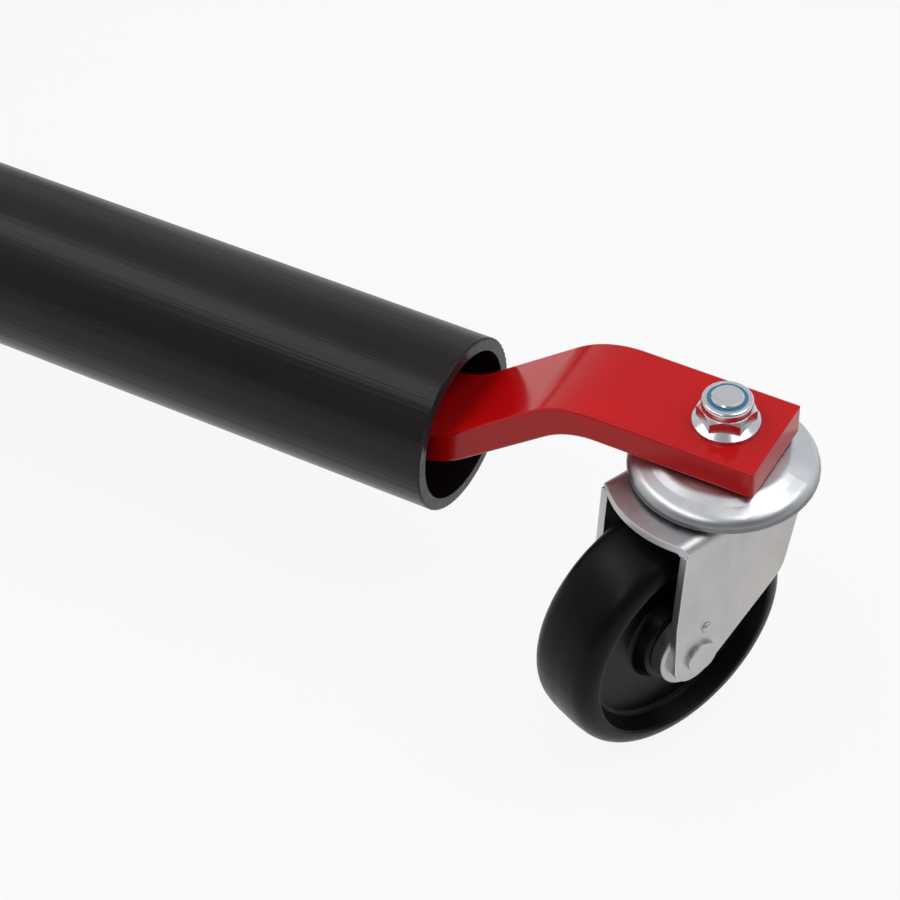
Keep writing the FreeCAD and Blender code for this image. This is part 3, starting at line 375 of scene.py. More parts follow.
# Zinc on rolled sheet: satin grey, with rolling lines up and down the fork, drawn wide enough to show, and
# near-white painted highlights along its edges
SHEET_ZINC = PlatedZinc(
    "satin_zinc_sheet", "zinc_plate", colour="#BEBCBE", shade="#B1B0B3", cloud=30, roughness=(0.36, 0.46),
    grain=0.9, grain_height=0.006, edge=0.6, edge_wear_and_highlight_colour="#F0F0F1", edge_wear_and_highlight_share=0.8, metallic=1.0,
    draw_out=(1.0, 1.0, 14.0), tint_share=0.2)
# Plain turned steel: darker than zinc, with a turned grain drawn coarse enough to show
TURNED_STEEL = Finish(
    "turned_steel", "bright_steel", colour="#A7A8AA", shade="#98999B", cloud=20, roughness=(0.24, 0.36),
    grain=0.8, grain_height=0.006, edge=0.3, edge_wear_and_highlight_colour="#C9CACC", metallic=1.0)
# Hard chrome on a ground rod: near mirror, with a ground grain drawn coarse enough to show
HARD_CHROME = Finish(
    "hard_chrome", "hard_chrome", colour="#D3D6D9", shade="#C8CBCE", cloud=60, roughness=(0.06, 0.12),
    grain=0.6, grain_height=0.002, edge=0.3, edge_wear_and_highlight_colour="#E4E6E8", metallic=1.0)
# Painted sand casting: matt black with a grainy skin
BLACK_CASTING = Finish(
    "painted_sand_casting", "black_casting", colour="#131314", shade="#1B1B1C", cloud=14,
    roughness=(0.42, 0.6), grain=2.0, grain_height=0.16, edge=1.2, edge_wear_and_highlight_colour="#333334")
# Moulded polypropylene wheel: satin black with a faint moulded skin
WHEEL_PLASTIC = Finish(
    "moulded_polypropylene", "wheel_plastic", colour="#070708", shade="#0B0B0C", cloud=26,
    roughness=(0.27, 0.37), grain=1.1, grain_height=0.02, edge=0.8, edge_wear_and_highlight_colour="#1C1C1D", specular=0.12)
# Nylon locking ring: blue, smooth and a little waxy
BLUE_NYLON = Finish(
    "blue_nylon", "blue_nylon", colour="#124C68", shade="#0C3A52", cloud=3, roughness=(0.35, 0.5),
    grain=0.6, grain_height=0.01, edge=0.2, edge_wear_and_highlight_colour="#1F6586")
# Natural nylon bush: milky white and waxy
WHITE_NYLON = Finish(
    "natural_nylon", "white_nylon", colour="#E2DFD5", shade="#D6D2C6", cloud=12, roughness=(0.4, 0.55),
    grain=0.8, grain_height=0.01, edge=0.4, edge_wear_and_highlight_colour="#EFEDE6")
# Moulded polyethylene plugs and grips: dull black with a spark-eroded skin
BLACK_PLASTIC = Finish(
    "moulded_polyethylene", "black_plastic", colour="#141415", shade="#1B1B1C", cloud=20,
    roughness=(0.5, 0.62), grain=0.7, grain_height=0.03, edge=0.6, edge_wear_and_highlight_colour="#303031")
# Ribbed rubber on the pedal: matt, and lighter along its edges, partly as dust and partly as a painted
# highlight
BLACK_RUBBER = Finish(
    "moulded_rubber", "black_rubber", colour="#161616", shade="#1F1F1E", cloud=16, roughness=(0.68, 0.82),
    grain=0.8, grain_height=0.05, edge=0.6, edge_wear_and_highlight_colour="#3B3B39")


def paint(finish: Finish, *nodes: str) -> None:
    """Give CAD nodes their finish.

    Args:
        finish: Finish to give.
        nodes: Names of the nodes.
    """
    for name in nodes:
        slots = frame["nodes"][name].data.materials
        slots.clear()
        slots.append(finish.material())
        LOG.info("painted %s with %s", name, finish.name)


def in_mm(corners: tuple[Vector, Vector]) -> tuple[Vector, Vector]:
    """Lowest and highest corners of a box, turned from metres to millimetres."""
    return corners[0] / MM, corners[1] / MM


def shown(name: str, mesh: bpy.types.Mesh) -> bpy.types.Object:
    """Put a finished mesh in the scene as an object at the origin.

    Args:
        name: Name of the piece.
        mesh: Mesh with its place in its points.

    Returns:
        The new object.
    """
    piece = bpy.data.objects.new(name, mesh)
    bpy.context.scene.collection.objects.link(piece)
    return piece


def fasten(piece: bpy.types.Object, body: str) -> bpy.types.Object:
    """Let a piece move with a body, and log that it was built.

    Args:
        piece: Finished piece.
        body: Body that carries it.

    Returns:
        The piece.
    """
    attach(piece, body)
    LOG.info("built %s on %s", piece.name, body)
    return piece


def turned(name: str, profile: list[Span], place: Matrix, finish: Finish,
           steps: int = 64) -> bpy.types.Object:
    """Turn a closed profile about the Z axis of a place.

    Args:
        name: Name of the piece.
        profile: Radius and height of each corner in millimetres, round the section.
        place: Where the turning axis stands, in metres.
        finish: Finish of the piece.
        steps: Faces round the axis.

    Returns:
        The new piece.
    """
    work = bmesh.new()
    rings = []
    for step in range(steps):
        angle = 2 * math.pi * step / steps
        spots = [(radius * math.cos(angle), radius * math.sin(angle), height) for radius, height in profile]
        rings.append([work.verts.new(Vector(spot) * MM) for spot in spots])
    count = len(profile)
    for step in range(steps):
        here, there = rings[step], rings[(step + 1) % steps]
        for corner in range(count):
            following = (corner + 1) % count
            work.faces.new((here[corner], there[corner], there[following], here[following]))
    bmesh.ops.remove_doubles(work, verts=work.verts, dist=MERGE_GAP * MM)
    bmesh.ops.dissolve_degenerate(work, dist=MERGE_GAP * MM, edges=work.edges)
    bmesh.ops.recalc_face_normals(work, faces=work.faces)
    work.transform(place)
    mesh = bpy.data.meshes.new(name)
    work.to_mesh(mesh)
    work.free()
    mesh.shade_smooth()
    mesh.set_sharp_from_angle(angle=SMOOTH_ANGLE)
    mesh.materials.append(finish.material())
    return shown(name, mesh)


def facing(way: Point, centre: Point) -> Matrix:
    """Place whose Z axis points along a way.

    Args:
        way: Direction of the axis.
        centre: Origin of the place in millimetres.

    Returns:
        The place as a matrix in metres.
    """
    turn = Vector((0, 0, 1)).rotation_difference(Vector(way)).to_matrix().to_4x4()
    return Matrix.Translation(Vector(centre) * MM) @ turn


def socketed(name: str, sockets: dict[str, str]) -> tuple[Tree, bpy.types.Node]:
    """Start a Geometry Nodes tree with named inputs and one geometry output.

    Args:
        name: Name of the tree.
        sockets: Type of each input by its name.

    Returns:
        The tree and its input node.
    """
    tree = bpy.data.node_groups.new(name, "GeometryNodeTree")
    tree.interface.new_socket("Geometry", in_out="OUTPUT", socket_type="NodeSocketGeometry")
    for socket, kind in sockets.items():
        tree.interface.new_socket(socket, in_out="INPUT", socket_type=kind)
    return tree, add_node(tree, "NodeGroupInput")


def closed(tree: Tree, source: bpy.types.Node, geometry: Socket) -> Tree:
    """End a tree: real meshes, smooth, with the material that the tree was given.

    Args:
        tree: Tree to end.
        source: Its input node.
        geometry: What it made so far.

    Returns:
        The finished tree.
    """
    real = add_node(tree, "GeometryNodeRealizeInstances", None, {"Geometry": geometry}).outputs[0]
    smooth = add_node(tree, "GeometryNodeSetShadeSmooth", None, {"Geometry": real}).outputs[0]
    dressed = add_node(tree, "GeometryNodeSetMaterial", None, {
        "Geometry": smooth, "Material": source.outputs["Material"]}).outputs[0]
    add_node(tree, "NodeGroupOutput", None, {"Geometry": dressed})
    return tree


def grown(name: str, tree: Tree, carrier: bpy.types.Mesh, values: dict[str, Any]) -> bpy.types.Object:
    """Run a Geometry Nodes tree and keep its result as a plain mesh.

    Args:
        name: Name of the piece.
        tree: Finished tree.
        carrier: Points or lines that the tree starts from.
        values: Value of each named input.

    Returns:
        The new piece, with no modifier left.
    """
    holder = shown(name + "_carrier", carrier)
    modifier = holder.modifiers.new("grow", "NODES")
    modifier.node_group = tree
    for item in tree.interface.items_tree:
        if item.in_out == "INPUT" and item.name in values:
            modifier[item.identifier] = values[item.name]
    evaluated = holder.evaluated_get(bpy.context.evaluated_depsgraph_get())
    mesh = bpy.data.meshes.new_from_object(evaluated)
    bpy.data.objects.remove(holder)
    return shown(name, mesh)


def lines(name: str, runs: list[list[Point]]) -> bpy.types.Mesh:
    """Mesh of open or closed runs of edges.

    Args:
        name: Name of the mesh.
        runs: Points of each run in millimetres; a run that ends where it starts is closed.

    Returns:
        The mesh, in metres.
    """
    points: list[Vector] = []
    edges: list[tuple[int, int]] = []
    for run in runs:
        loop = run[0] == run[-1]
        spots = run[:-1] if loop else run
        first = len(points)
        points.extend(Vector(spot) * MM for spot in spots)
        edges.extend((first + i, first + i + 1) for i in range(len(spots) - 1))
        if loop:
            edges.append((first + len(spots) - 1, first))
    mesh = bpy.data.meshes.new(name)
    mesh.from_pydata(points, edges, [])
    return mesh


@dataclass
class WeldBead:
    """Fillet weld of overlapping ripples, painted over with what it joins. Sizes are in millimetres."""

    radius: float = 3.0
    pitch: float = 2.2
    ripple: float = 1.9
    unevenness: float = 0.08
    ball_segments: int = 12
    ball_rings: int = 8

    def tree(self) -> Tree:
        """Tree that lays ripples along the lines it is given.

        Returns:
            The finished tree, made once.
        """
        made = bpy.data.node_groups.get("weld_bead")
        if made:
            return made
        tree, source = socketed("weld_bead", {
            "Geometry": "NodeSocketGeometry", "Pitch": "NodeSocketFloat", "Radius": "NodeSocketFloat",
            "Ripple": "NodeSocketFloat", "Unevenness": "NodeSocketFloat", "Material": "NodeSocketMaterial"})
        run = add_node(tree, "GeometryNodeMeshToCurve", None, {"Mesh": source.outputs["Geometry"]})
        spots = add_node(tree, "GeometryNodeResampleCurve", {"mode": "LENGTH"}, {
            "Curve": run.outputs[0], "Length": source.outputs["Pitch"]})
        ball = add_node(tree, "GeometryNodeMeshUVSphere", None, {
            "Segments": self.ball_segments, "Rings": self.ball_rings, "Radius": 1.0})
        way = add_node(tree, "GeometryNodeInputTangent")
        turn = add_node(tree, "FunctionNodeAlignRotationToVector", {"axis": "X"}, {"Vector": way.outputs[0]})
        least = add_node(tree, "ShaderNodeMath", {"operation": "SUBTRACT"}, {
            0: 1.0, 1: source.outputs["Unevenness"]})
        most = add_node(tree, "ShaderNodeMath", {"operation": "ADD"}, {
            0: 1.0, 1: source.outputs["Unevenness"]})
        chance = add_node(tree, "FunctionNodeRandomValue", {"data_type": "FLOAT"}, {
            2: least.outputs[0], 3: most.outputs[0], "Seed": SEED})
        girth = add_node(tree, "ShaderNodeMath", {"operation": "MULTIPLY"}, {
            0: source.outputs["Radius"], 1: chance.outputs[1]}).outputs[0]
        size = add_node(tree, "ShaderNodeCombineXYZ", None, {
            "X": source.outputs["Ripple"], "Y": girth, "Z": girth})
        ripples = add_node(tree, "GeometryNodeInstanceOnPoints", None, {
            "Points": spots.outputs[0], "Instance": ball.outputs[0], "Rotation": turn.outputs[0],
            "Scale": size.outputs[0]})
        return closed(tree, source, ripples.outputs[0])

    def lay(self, name: str, runs: list[list[Point]], body: str, finish: Finish) -> bpy.types.Object:
        """Lay beads along runs on one body.

        Args:
            name: Name of the piece.
            runs: Points of each run in millimetres.
            body: Body that carries the beads.
            finish: Paint over the weld.

        Returns:
            The new piece.
        """
        piece = grown(name, self.tree(), lines(name, runs), {
            "Pitch": self.pitch * MM, "Radius": self.radius * MM, "Ripple": self.ripple * MM,
            "Unevenness": self.unevenness, "Material": finish.material()})
        return fasten(piece, body)


@dataclass
class RollerArm:
    """Roller on its fixed axle, between two bent bars. Sizes are in millimetres."""

    side: Side
    bead_lift: float = 1.6
    bead_end: float = 2.0
    beam_corner: float = 5.0

    def dress(self) -> None:
        """Paint the bars and the roller, and plate the fastenings."""
        arm = self.side.value
        paint(RED_ENAMEL, f"{arm}_front_bar", f"{arm}_rear_bar")
        paint(ROLLER_BLACK, f"{arm}_roller_tube")
        paint(TURNED_STEEL, f"{arm}_roller_axle", f"{arm}_swivel_balls")
        paint(WHITE_NYLON, f"{arm}_roller_bushes")
        paint(BRIGHT_ZINC, f"{arm}_stems", f"{arm}_stem_nuts")
        paint(PRESSED_ZINC, f"{arm}_swivel_caps")
        paint(BLUE_NYLON, f"{arm}_nut_inserts")

    def build(self) -> None:
        """Weld the rear bar under the beam, along both sides of the beam and of the bar."""
        low, high = in_mm(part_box(f"{self.side.value}_rear_bar"))
        outer_low, outer_high = in_mm(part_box("outer_beam"))
        inner_low, inner_high = in_mm(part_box("inner_beam"))
        middle = (inner_low.x + inner_high.x) / 2
        half = (outer_high.x - outer_low.x) / 2
        foot = in_mm(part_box(self.side.carrier))[0].z
        side, rise = half - self.bead_lift, foot + self.bead_lift
        runs = [[(middle + x, low.y + self.bead_end, rise), (middle + x, high.y - self.bead_end, rise)]
                for x in (-side, side)]
        reach, drop = half - self.beam_corner, self.bead_lift / 2
        runs += [[(middle - reach, y, foot - drop), (middle + reach, y, foot - drop)]
                 for y in (low.y - drop, high.y + drop)]
        WeldBead().lay(f"{self.side.value}_bar_welds", runs, self.side.body, RED_ENAMEL)


@dataclass
class Castor:
    """Swivel castor with a pressed fork. Sizes are in millimetres."""

    end: End
    side: Side
    pip_radius: float = 2.4
    pip_height: float = 1.3
    pip_ahead: float = -2.5
    pip_rise: float = 13.5
    ball_segments: int = 24
    ball_rings: int = 12

    @property
    def name(self) -> str:
        """Name that this castor's nodes start with."""
        return f"{self.end.value}_{self.side.value}"

    def dress(self) -> None:
        """Plate the fork and its fastenings, and leave the wheel in moulded black."""
        paint(SHEET_ZINC, f"{self.name}_fork", f"{self.name}_wheel_axle", f"{self.name}_axle_washers")
        paint(WHEEL_PLASTIC, f"{self.name}_wheel")
        paint(WHITE_NYLON, f"{self.name}_wheel_bush")

    def tree(self) -> Tree:
        """Tree that sets a low round pip at each point, facing the way the point keeps.

        Returns:
            The finished tree, made once.
        """
        made = bpy.data.node_groups.get("pressed_pips")
        if made:
            return made
        tree, source = socketed("pressed_pips", {
            "Geometry": "NodeSocketGeometry", "Radius": "NodeSocketFloat", "Height": "NodeSocketFloat",
            "Material": "NodeSocketMaterial"})
        way = add_node(tree, "GeometryNodeInputNamedAttribute", {"data_type": "FLOAT_VECTOR"}, {
            "Name": "outward"})
        turn = add_node(tree, "FunctionNodeAlignRotationToVector", {"axis": "Z"}, {"Vector": way.outputs[0]})
        ball = add_node(tree, "GeometryNodeMeshUVSphere", None, {
            "Segments": self.ball_segments, "Rings": self.ball_rings, "Radius": 1.0})
        size = add_node(tree, "ShaderNodeCombineXYZ", None, {
            "X": source.outputs["Radius"], "Y": source.outputs["Radius"], "Z": source.outputs["Height"]})
        pips = add_node(tree, "GeometryNodeInstanceOnPoints", None, {
            "Points": source.outputs["Geometry"], "Instance": ball.outputs[0], "Rotation": turn.outputs[0],
            "Scale": size.outputs[0]})
        return closed(tree, source, pips.outputs[0])

    def leg_reach(self, hub: Vector, across: Vector) -> float:
        """Reach of a leg's outer face, taken below the axle, where the fork is nothing but legs.

        Args:
            hub: Middle of the wheel in metres.
            across: Direction of the axle.

        Returns:
            Distance from the hub to the face in metres.
        """
        corners = [vertex.co for vertex in frame["nodes"][f"{self.name}_fork"].data.vertices]
        return max((corner - hub).dot(across) for corner in corners if corner.z < hub.z)

    def build(self) -> None:
        """Press a pip in each fork leg, above the rivet."""
        joints = {joint["name"]: joint for joint in frame["joints"]}
        axle = joints[f"{self.name}_wheel_roll"]
        stem = Vector(joints[f"{self.name}_swivel_turn"]["pos_m"])
        hub, across = Vector(axle["pos_m"]), Vector(axle["axis"]).normalized()
        ahead = Vector((hub.x - stem.x, hub.y - stem.y, 0)).normalized()
        middle = hub + ahead * self.pip_ahead * MM + Vector((0, 0, self.pip_rise * MM))
        reach = self.leg_reach(hub, across)
        mesh = bpy.data.meshes.new(f"{self.name}_pips")
        mesh.from_pydata([middle + across * reach, middle - across * reach], [], [])
        outward = mesh.attributes.new("outward", "FLOAT_VECTOR", "POINT")
        outward.data.foreach_set("vector", [*across, *-across])
        piece = grown(f"{self.name}_pips", self.tree(), mesh, {
            "Radius": self.pip_radius * MM, "Height": self.pip_height * MM,
            "Material": SHEET_ZINC.material()})
        fasten(piece, f"{self.name}_swivel")


@dataclass
class TelescopingBeam:
    """Outer and inner square tubes, the slide head and the lock pin. Sizes are in millimetres."""

    bead: float = 2.2
    bead_lift: float = 1.0
    boss_radius: float = 13.0
    boss_spots: int = 24
    ear_radius: float = 14.0
    ear_edge: float = 4.0
    bar_radius: float = 5.0
    grip_radius: float = 6.6
    grip_length: float = 15.0
    grip_cap: float = 1.6
    grip_round: float = 2.0
    grip_shoulder: float = 0.5
    grip_chamfer: float = 1.0

    def dress(self) -> None:
        """Paint the tubes, and leave the plugs in moulded black."""
        paint(RED_ENAMEL, "outer_beam", "slide_head")
        paint(RAM_BLACK, "inner_beam")
        paint(BLACK_PLASTIC, "outer_beam_plug", "inner_beam_plug")
        paint(BRIGHT_ZINC, "lock_pin")

    def weld_boss(self) -> None:
        """Run a bead round the lock pin's boss, on top of the outer beam."""
        low, high = in_mm(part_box("lock_pin"))
        x, y, top = (low.x + high.x) / 2, (low.y + high.y) / 2, in_mm(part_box("slide_head"))[1].z
        reach = self.boss_radius + self.bead_lift
        ring = []
        for step in range(self.boss_spots):
            angle = 2 * math.pi * step / self.boss_spots
            ring.append((x + reach * math.cos(angle), y + reach * math.sin(angle), top + self.bead_lift))
        WeldBead(radius=self.bead).lay("lock_boss_weld", [[*ring, ring[0]]], "frame", RED_ENAMEL)

    def weld_head(self) -> None:
        """Run beads round the inner beam where it enters the slide head, and along the rod pin's ears."""
        bead, lift = self.bead, self.bead_lift
        low, high = in_mm(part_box("inner_beam"))
        sides = [(low.x - lift, low.z + bead), (low.x - lift, high.z - bead),
                 (low.x + bead, high.z + lift), (high.x - bead, high.z + lift),
                 (high.x + lift, high.z - bead), (high.x + lift, low.z + bead),
                 (high.x - bead, low.z - lift), (low.x + bead, low.z - lift)]
        mouth = in_mm(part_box("slide_head"))[0].y - lift
        around = [(x, mouth, z) for x, z in [*sides, sides[0]]]
        pin_low, pin_high = in_mm(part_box("rod_pin"))
        pin_y, reach = (pin_low.y + pin_high.y) / 2, self.ear_radius - lift
        back = in_mm(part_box("outer_beam"))[0].x - lift
        ears = [[(back, pin_y - reach, z), (back, pin_y + reach, z)]
                for z in (pin_low.z - lift, pin_high.z - self.ear_edge + lift)]
        WeldBead(radius=bead).lay("slide_head_welds", [around, *ears], "slider", RED_ENAMEL)

    def push_grips(self) -> None:
        """Push a moulded grip on each end of the lock pin's bar."""
        low, high = in_mm(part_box("lock_pin"))
        radius, length, cap = self.grip_radius, self.grip_length, -self.grip_cap
        profile = [(0, cap), (radius - self.grip_round, cap),
                   (radius - self.grip_shoulder, cap + self.grip_round / 3), (radius, cap + self.grip_round),
                   (radius, length - self.grip_chamfer), (radius - self.grip_chamfer, length),
                   (self.bar_radius, length), (self.bar_radius, 0), (0, 0)]
        for name, end, way in (("near_grip", low.y, 1.0), ("far_grip", high.y, -1.0)):
            place = facing((0, way, 0), ((low.x + high.x) / 2, end, high.z - self.bar_radius))
            fasten(turned(f"lock_pin_{name}", profile, place, BLACK_PLASTIC), "lock_pin")

    def build(self) -> None:
        """Weld the boss, the sleeve and the ears, and push grips on the lock pin's bar."""
        self.weld_boss()
        self.weld_head()
        self.push_grips()


@dataclass
class Ram:
    """Hydraulic ram along the back of the beam. Sizes are in millimetres."""

    wiper_inner: float = 9.3
    wiper_outer: float = 12.5
    wiper_height: float = 2.0
    wiper_seat: float = 0.4
    wiper_lip: float = 0.5
    wiper_taper: float = 0.8
    bracket: float = 14.0
    bracket_end: float = 6.0
    bead: float = 2.0
    bead_lift: float = 1.0
    bead_sink: float = 0.6

    def dress(self) -> None:
        """Coat the cylinder, plate its nut and chrome the rod."""
        paint(RAM_BLACK, "ram_cylinder", "ram_piston")
        paint(RED_ENAMEL, "cylinder_brackets")
        paint(BRIGHT_ZINC, "gland_nut", "rod_pin")
        paint(HARD_CHROME, "piston_rod")

    def seat_wiper(self) -> None:
        """Seat the rod's wiper in the gland nut."""
        low, high = in_mm(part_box("gland_nut"))
        inner, outer, tall = self.wiper_inner, self.wiper_outer, self.wiper_height
        profile = [(inner + self.wiper_seat, 0), (outer, 0), (outer, tall / 3),
                   (outer - self.wiper_taper, tall), (inner + self.wiper_lip, tall), (inner, tall / 2)]
        place = facing((0, 1, 0), ((low.x + high.x) / 2, high.y, (low.z + high.z) / 2))
        fasten(turned("rod_wiper", profile, place, BLACK_RUBBER), "frame")

    def weld_brackets(self) -> None:
        """Weld both sides of each bracket to the beam."""
        low, high = in_mm(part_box("cylinder_brackets"))
        x, foot, top = high.x - self.bead_sink, low.z + self.bracket_end, high.z - self.bracket_end
        runs = [[(x, y, foot), (x, y, top)] for start in (low.y, high.y - self.bracket)
                for y in (start - self.bead_lift, start + self.bracket + self.bead_lift)]
        WeldBead(radius=self.bead).lay("bracket_welds", runs, "frame", RED_ENAMEL)

    def build(self) -> None:
        """Seat the rod's wiper and weld the brackets."""
        self.seat_wiper()
        self.weld_brackets()


@dataclass
class Pump:
    """Foot pump block with its release screw. Sizes are in millimetres."""

    plug_flats: float = 13.0
    plug_sides: int = 6
    plug_height: float = 6.5
    plug_aside: float = 20.0
    plug_chamfer: float = 1.0
    plug_rim: float = 3.0
    plug_slope: float = 0.6
    plug_dish: float = 0.8
    washer_radius: float = 9.5
    washer_height: float = 1.4
    washer_chamfer: float = 0.4
    rib_count: int = 26
    rib_sides: int = 8
    rib_radius: float = 0.7
    rib_length: float = 9.0
    collar_radius: float = 10.0
    collar_length: float = 12.0
    collar_gap: float = 1.0

    def dress(self) -> None:
        """Leave the block as a painted casting and plate its fittings."""
        paint(BLACK_CASTING, "pump_body")
        paint(BRIGHT_ZINC, "pump_bolts", "release_valve")

    def tree(self) -> Tree:
        """Tree that stands ribs round a collar, along X.

        Returns:
            The finished tree.
        """
        tree, source = socketed("collar_ribs", {
            "Geometry": "NodeSocketGeometry", "Count": "NodeSocketInt", "Radius": "NodeSocketFloat",
            "Rib": "NodeSocketFloat", "Length": "NodeSocketFloat", "Place": "NodeSocketVector",
            "Material": "NodeSocketMaterial"})
        ring = add_node(tree, "GeometryNodeMeshCircle", None, {
            "Vertices": source.outputs["Count"], "Radius": source.outputs["Radius"]})
        rib = add_node(tree, "GeometryNodeMeshCylinder", None, {
            "Vertices": self.rib_sides, "Radius": source.outputs["Rib"], "Depth": source.outputs["Length"]})
        ribs = add_node(tree, "GeometryNodeInstanceOnPoints", None, {
            "Points": ring.outputs[0], "Instance": rib.outputs[0]})
        placed = add_node(tree, "GeometryNodeTransform", None, {
            "Geometry": ribs.outputs[0], "Translation": source.outputs["Place"],
            "Rotation": (0, math.pi / 2, 0)})
        return closed(tree, source, placed.outputs[0])

    def screw_plug(self) -> None:
        """Screw the oil filler plug into the block's end, on a plain washer."""
        valve_low, valve_high = in_mm(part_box("release_valve"))
        plunger_low, plunger_high = in_mm(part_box("pump_plunger"))
        place = facing((-1, 0, 0), (
            in_mm(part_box("pump_body"))[0].x, (plunger_low.y + plunger_high.y) / 2 - self.plug_aside,
            (valve_low.z + valve_high.z) / 2))
        radius, foot = self.washer_radius, self.washer_height
        washer = [(0, 0), (radius, 0), (radius, foot - self.washer_chamfer),
                  (radius - self.washer_chamfer, foot), (0, foot)]
        fasten(turned("filler_washer", washer, place, TURNED_STEEL), "frame")
        corner, top = self.plug_flats / math.sqrt(3), foot + self.plug_height
        dish = top - self.plug_dish
        plug = [(0, foot), (corner, foot), (corner, dish), (corner - self.plug_chamfer, top),
                (corner - self.plug_rim, top), (corner - self.plug_rim - self.plug_slope, dish), (0, dish)]
        fasten(turned("filler_plug", plug, place, BRIGHT_ZINC, steps=self.plug_sides), "frame")

    def rib_collar(self) -> None:
        """Rib the release screw's collar for the fingers."""
        low, high = in_mm(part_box("release_valve"))
        collar_x = in_mm(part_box("pump_body"))[0].x - self.collar_gap - self.collar_length / 2
        place = Vector((collar_x, (low.y + high.y) / 2, (low.z + high.z) / 2))
        piece = grown("release_collar_ribs", self.tree(), lines("collar_ribs", STUB), {
            "Count": self.rib_count, "Radius": self.collar_radius * MM, "Rib": self.rib_radius * MM,
            "Length": self.rib_length * MM, "Place": place * MM, "Material": BRIGHT_ZINC.material()})
        fasten(piece, "release_valve")

    def build(self) -> None:
        """Screw in the oil filler plug and rib the release screw's collar."""
        self.screw_plug()
        self.rib_collar()


@dataclass
class Pedal:
    """Foot pedal, the plunger that it presses, and the return spring. Sizes are in millimetres."""

    turns: float = 4.0
    turn_steps: int = 48
    wire: float = 1.1
    wire_sides: int = 16
    length: float = 26.0
    travel: float = 11.5

    def dress(self) -> None:
        """Paint the arm, leave the pad in rubber and the plunger bright."""
        paint(RED_ENAMEL, "pedal_arm")
        paint(BLACK_RUBBER, "pedal_pad")
        paint(BRIGHT_ZINC, "pedal_pivot_pin")
        paint(HARD_CHROME, "pump_plunger")

    def tree(self) -> Tree:
        """Tree that winds a round wire into a spring.

        Returns:
            The finished tree.
        """
        tree, source = socketed("wound_spring", {
            "Geometry": "NodeSocketGeometry", "Turns": "NodeSocketFloat", "Radius": "NodeSocketFloat",
            "Height": "NodeSocketFloat", "Wire": "NodeSocketFloat", "Place": "NodeSocketVector",
            "Material": "NodeSocketMaterial"})
        coil = add_node(tree, "GeometryNodeCurveSpiral", None, {
            "Resolution": self.turn_steps, "Rotations": source.outputs["Turns"],
            "Start Radius": source.outputs["Radius"], "End Radius": source.outputs["Radius"],
            "Height": source.outputs["Height"]})
        section = add_node(tree, "GeometryNodeCurvePrimitiveCircle", None, {
            "Resolution": self.wire_sides, "Radius": source.outputs["Wire"]})
        wire = add_node(tree, "GeometryNodeCurveToMesh", None, {
            "Curve": coil.outputs[0], "Profile Curve": section.outputs[0], "Fill Caps": True})
        placed = add_node(tree, "GeometryNodeTransform", None, {
            "Geometry": wire.outputs[0], "Translation": source.outputs["Place"]})
        return closed(tree, source, placed.outputs[0])

    def build(self) -> None:
        """Wind the return spring and hide the CAD spring that it stands in for."""
        low, high = in_mm(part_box("plunger_spring"))
        centre = (low + high) / 2
        foot = Vector((centre.x, centre.y, low.z + self.wire))
        piece = grown("return_spring", self.tree(), lines("return_spring", STUB), {
            "Turns": self.turns, "Radius": ((high.x - low.x) / 2 - self.wire) * MM,
            "Height": (self.length - 2 * self.wire) * MM, "Wire": self.wire * MM, "Place": foot * MM,
            "Material": TURNED_STEEL.material()})
        fasten(piece, "frame")
        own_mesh(piece)
        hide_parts("plunger_spring")


@dataclass(frozen=True)
class SoftBox:
    """Large flat studio lamp with a cloth front. Sizes are in metres."""

    name: str
    way: Point
    distance: float
    size: Span
    radiance: float

    def build(self, target: Vector) -> None:
        """Hang the lamp so that it faces a target.

        Args:
            target: Point that the lamp faces, in metres.
        """
        lamp = bpy.data.lights.new(self.name, "AREA")
        lamp.shape = "RECTANGLE"
        lamp.size, lamp.size_y = self.size
        lamp.energy = self.radiance * math.pi * self.size[0] * self.size[1]
        holder = bpy.data.objects.new(self.name, lamp)
        bpy.context.scene.collection.objects.link(holder)
        away = Vector(self.way).normalized()
        holder.location = target + away * self.distance
        holder.rotation_euler = away.to_track_quat("Z", "Y").to_euler()


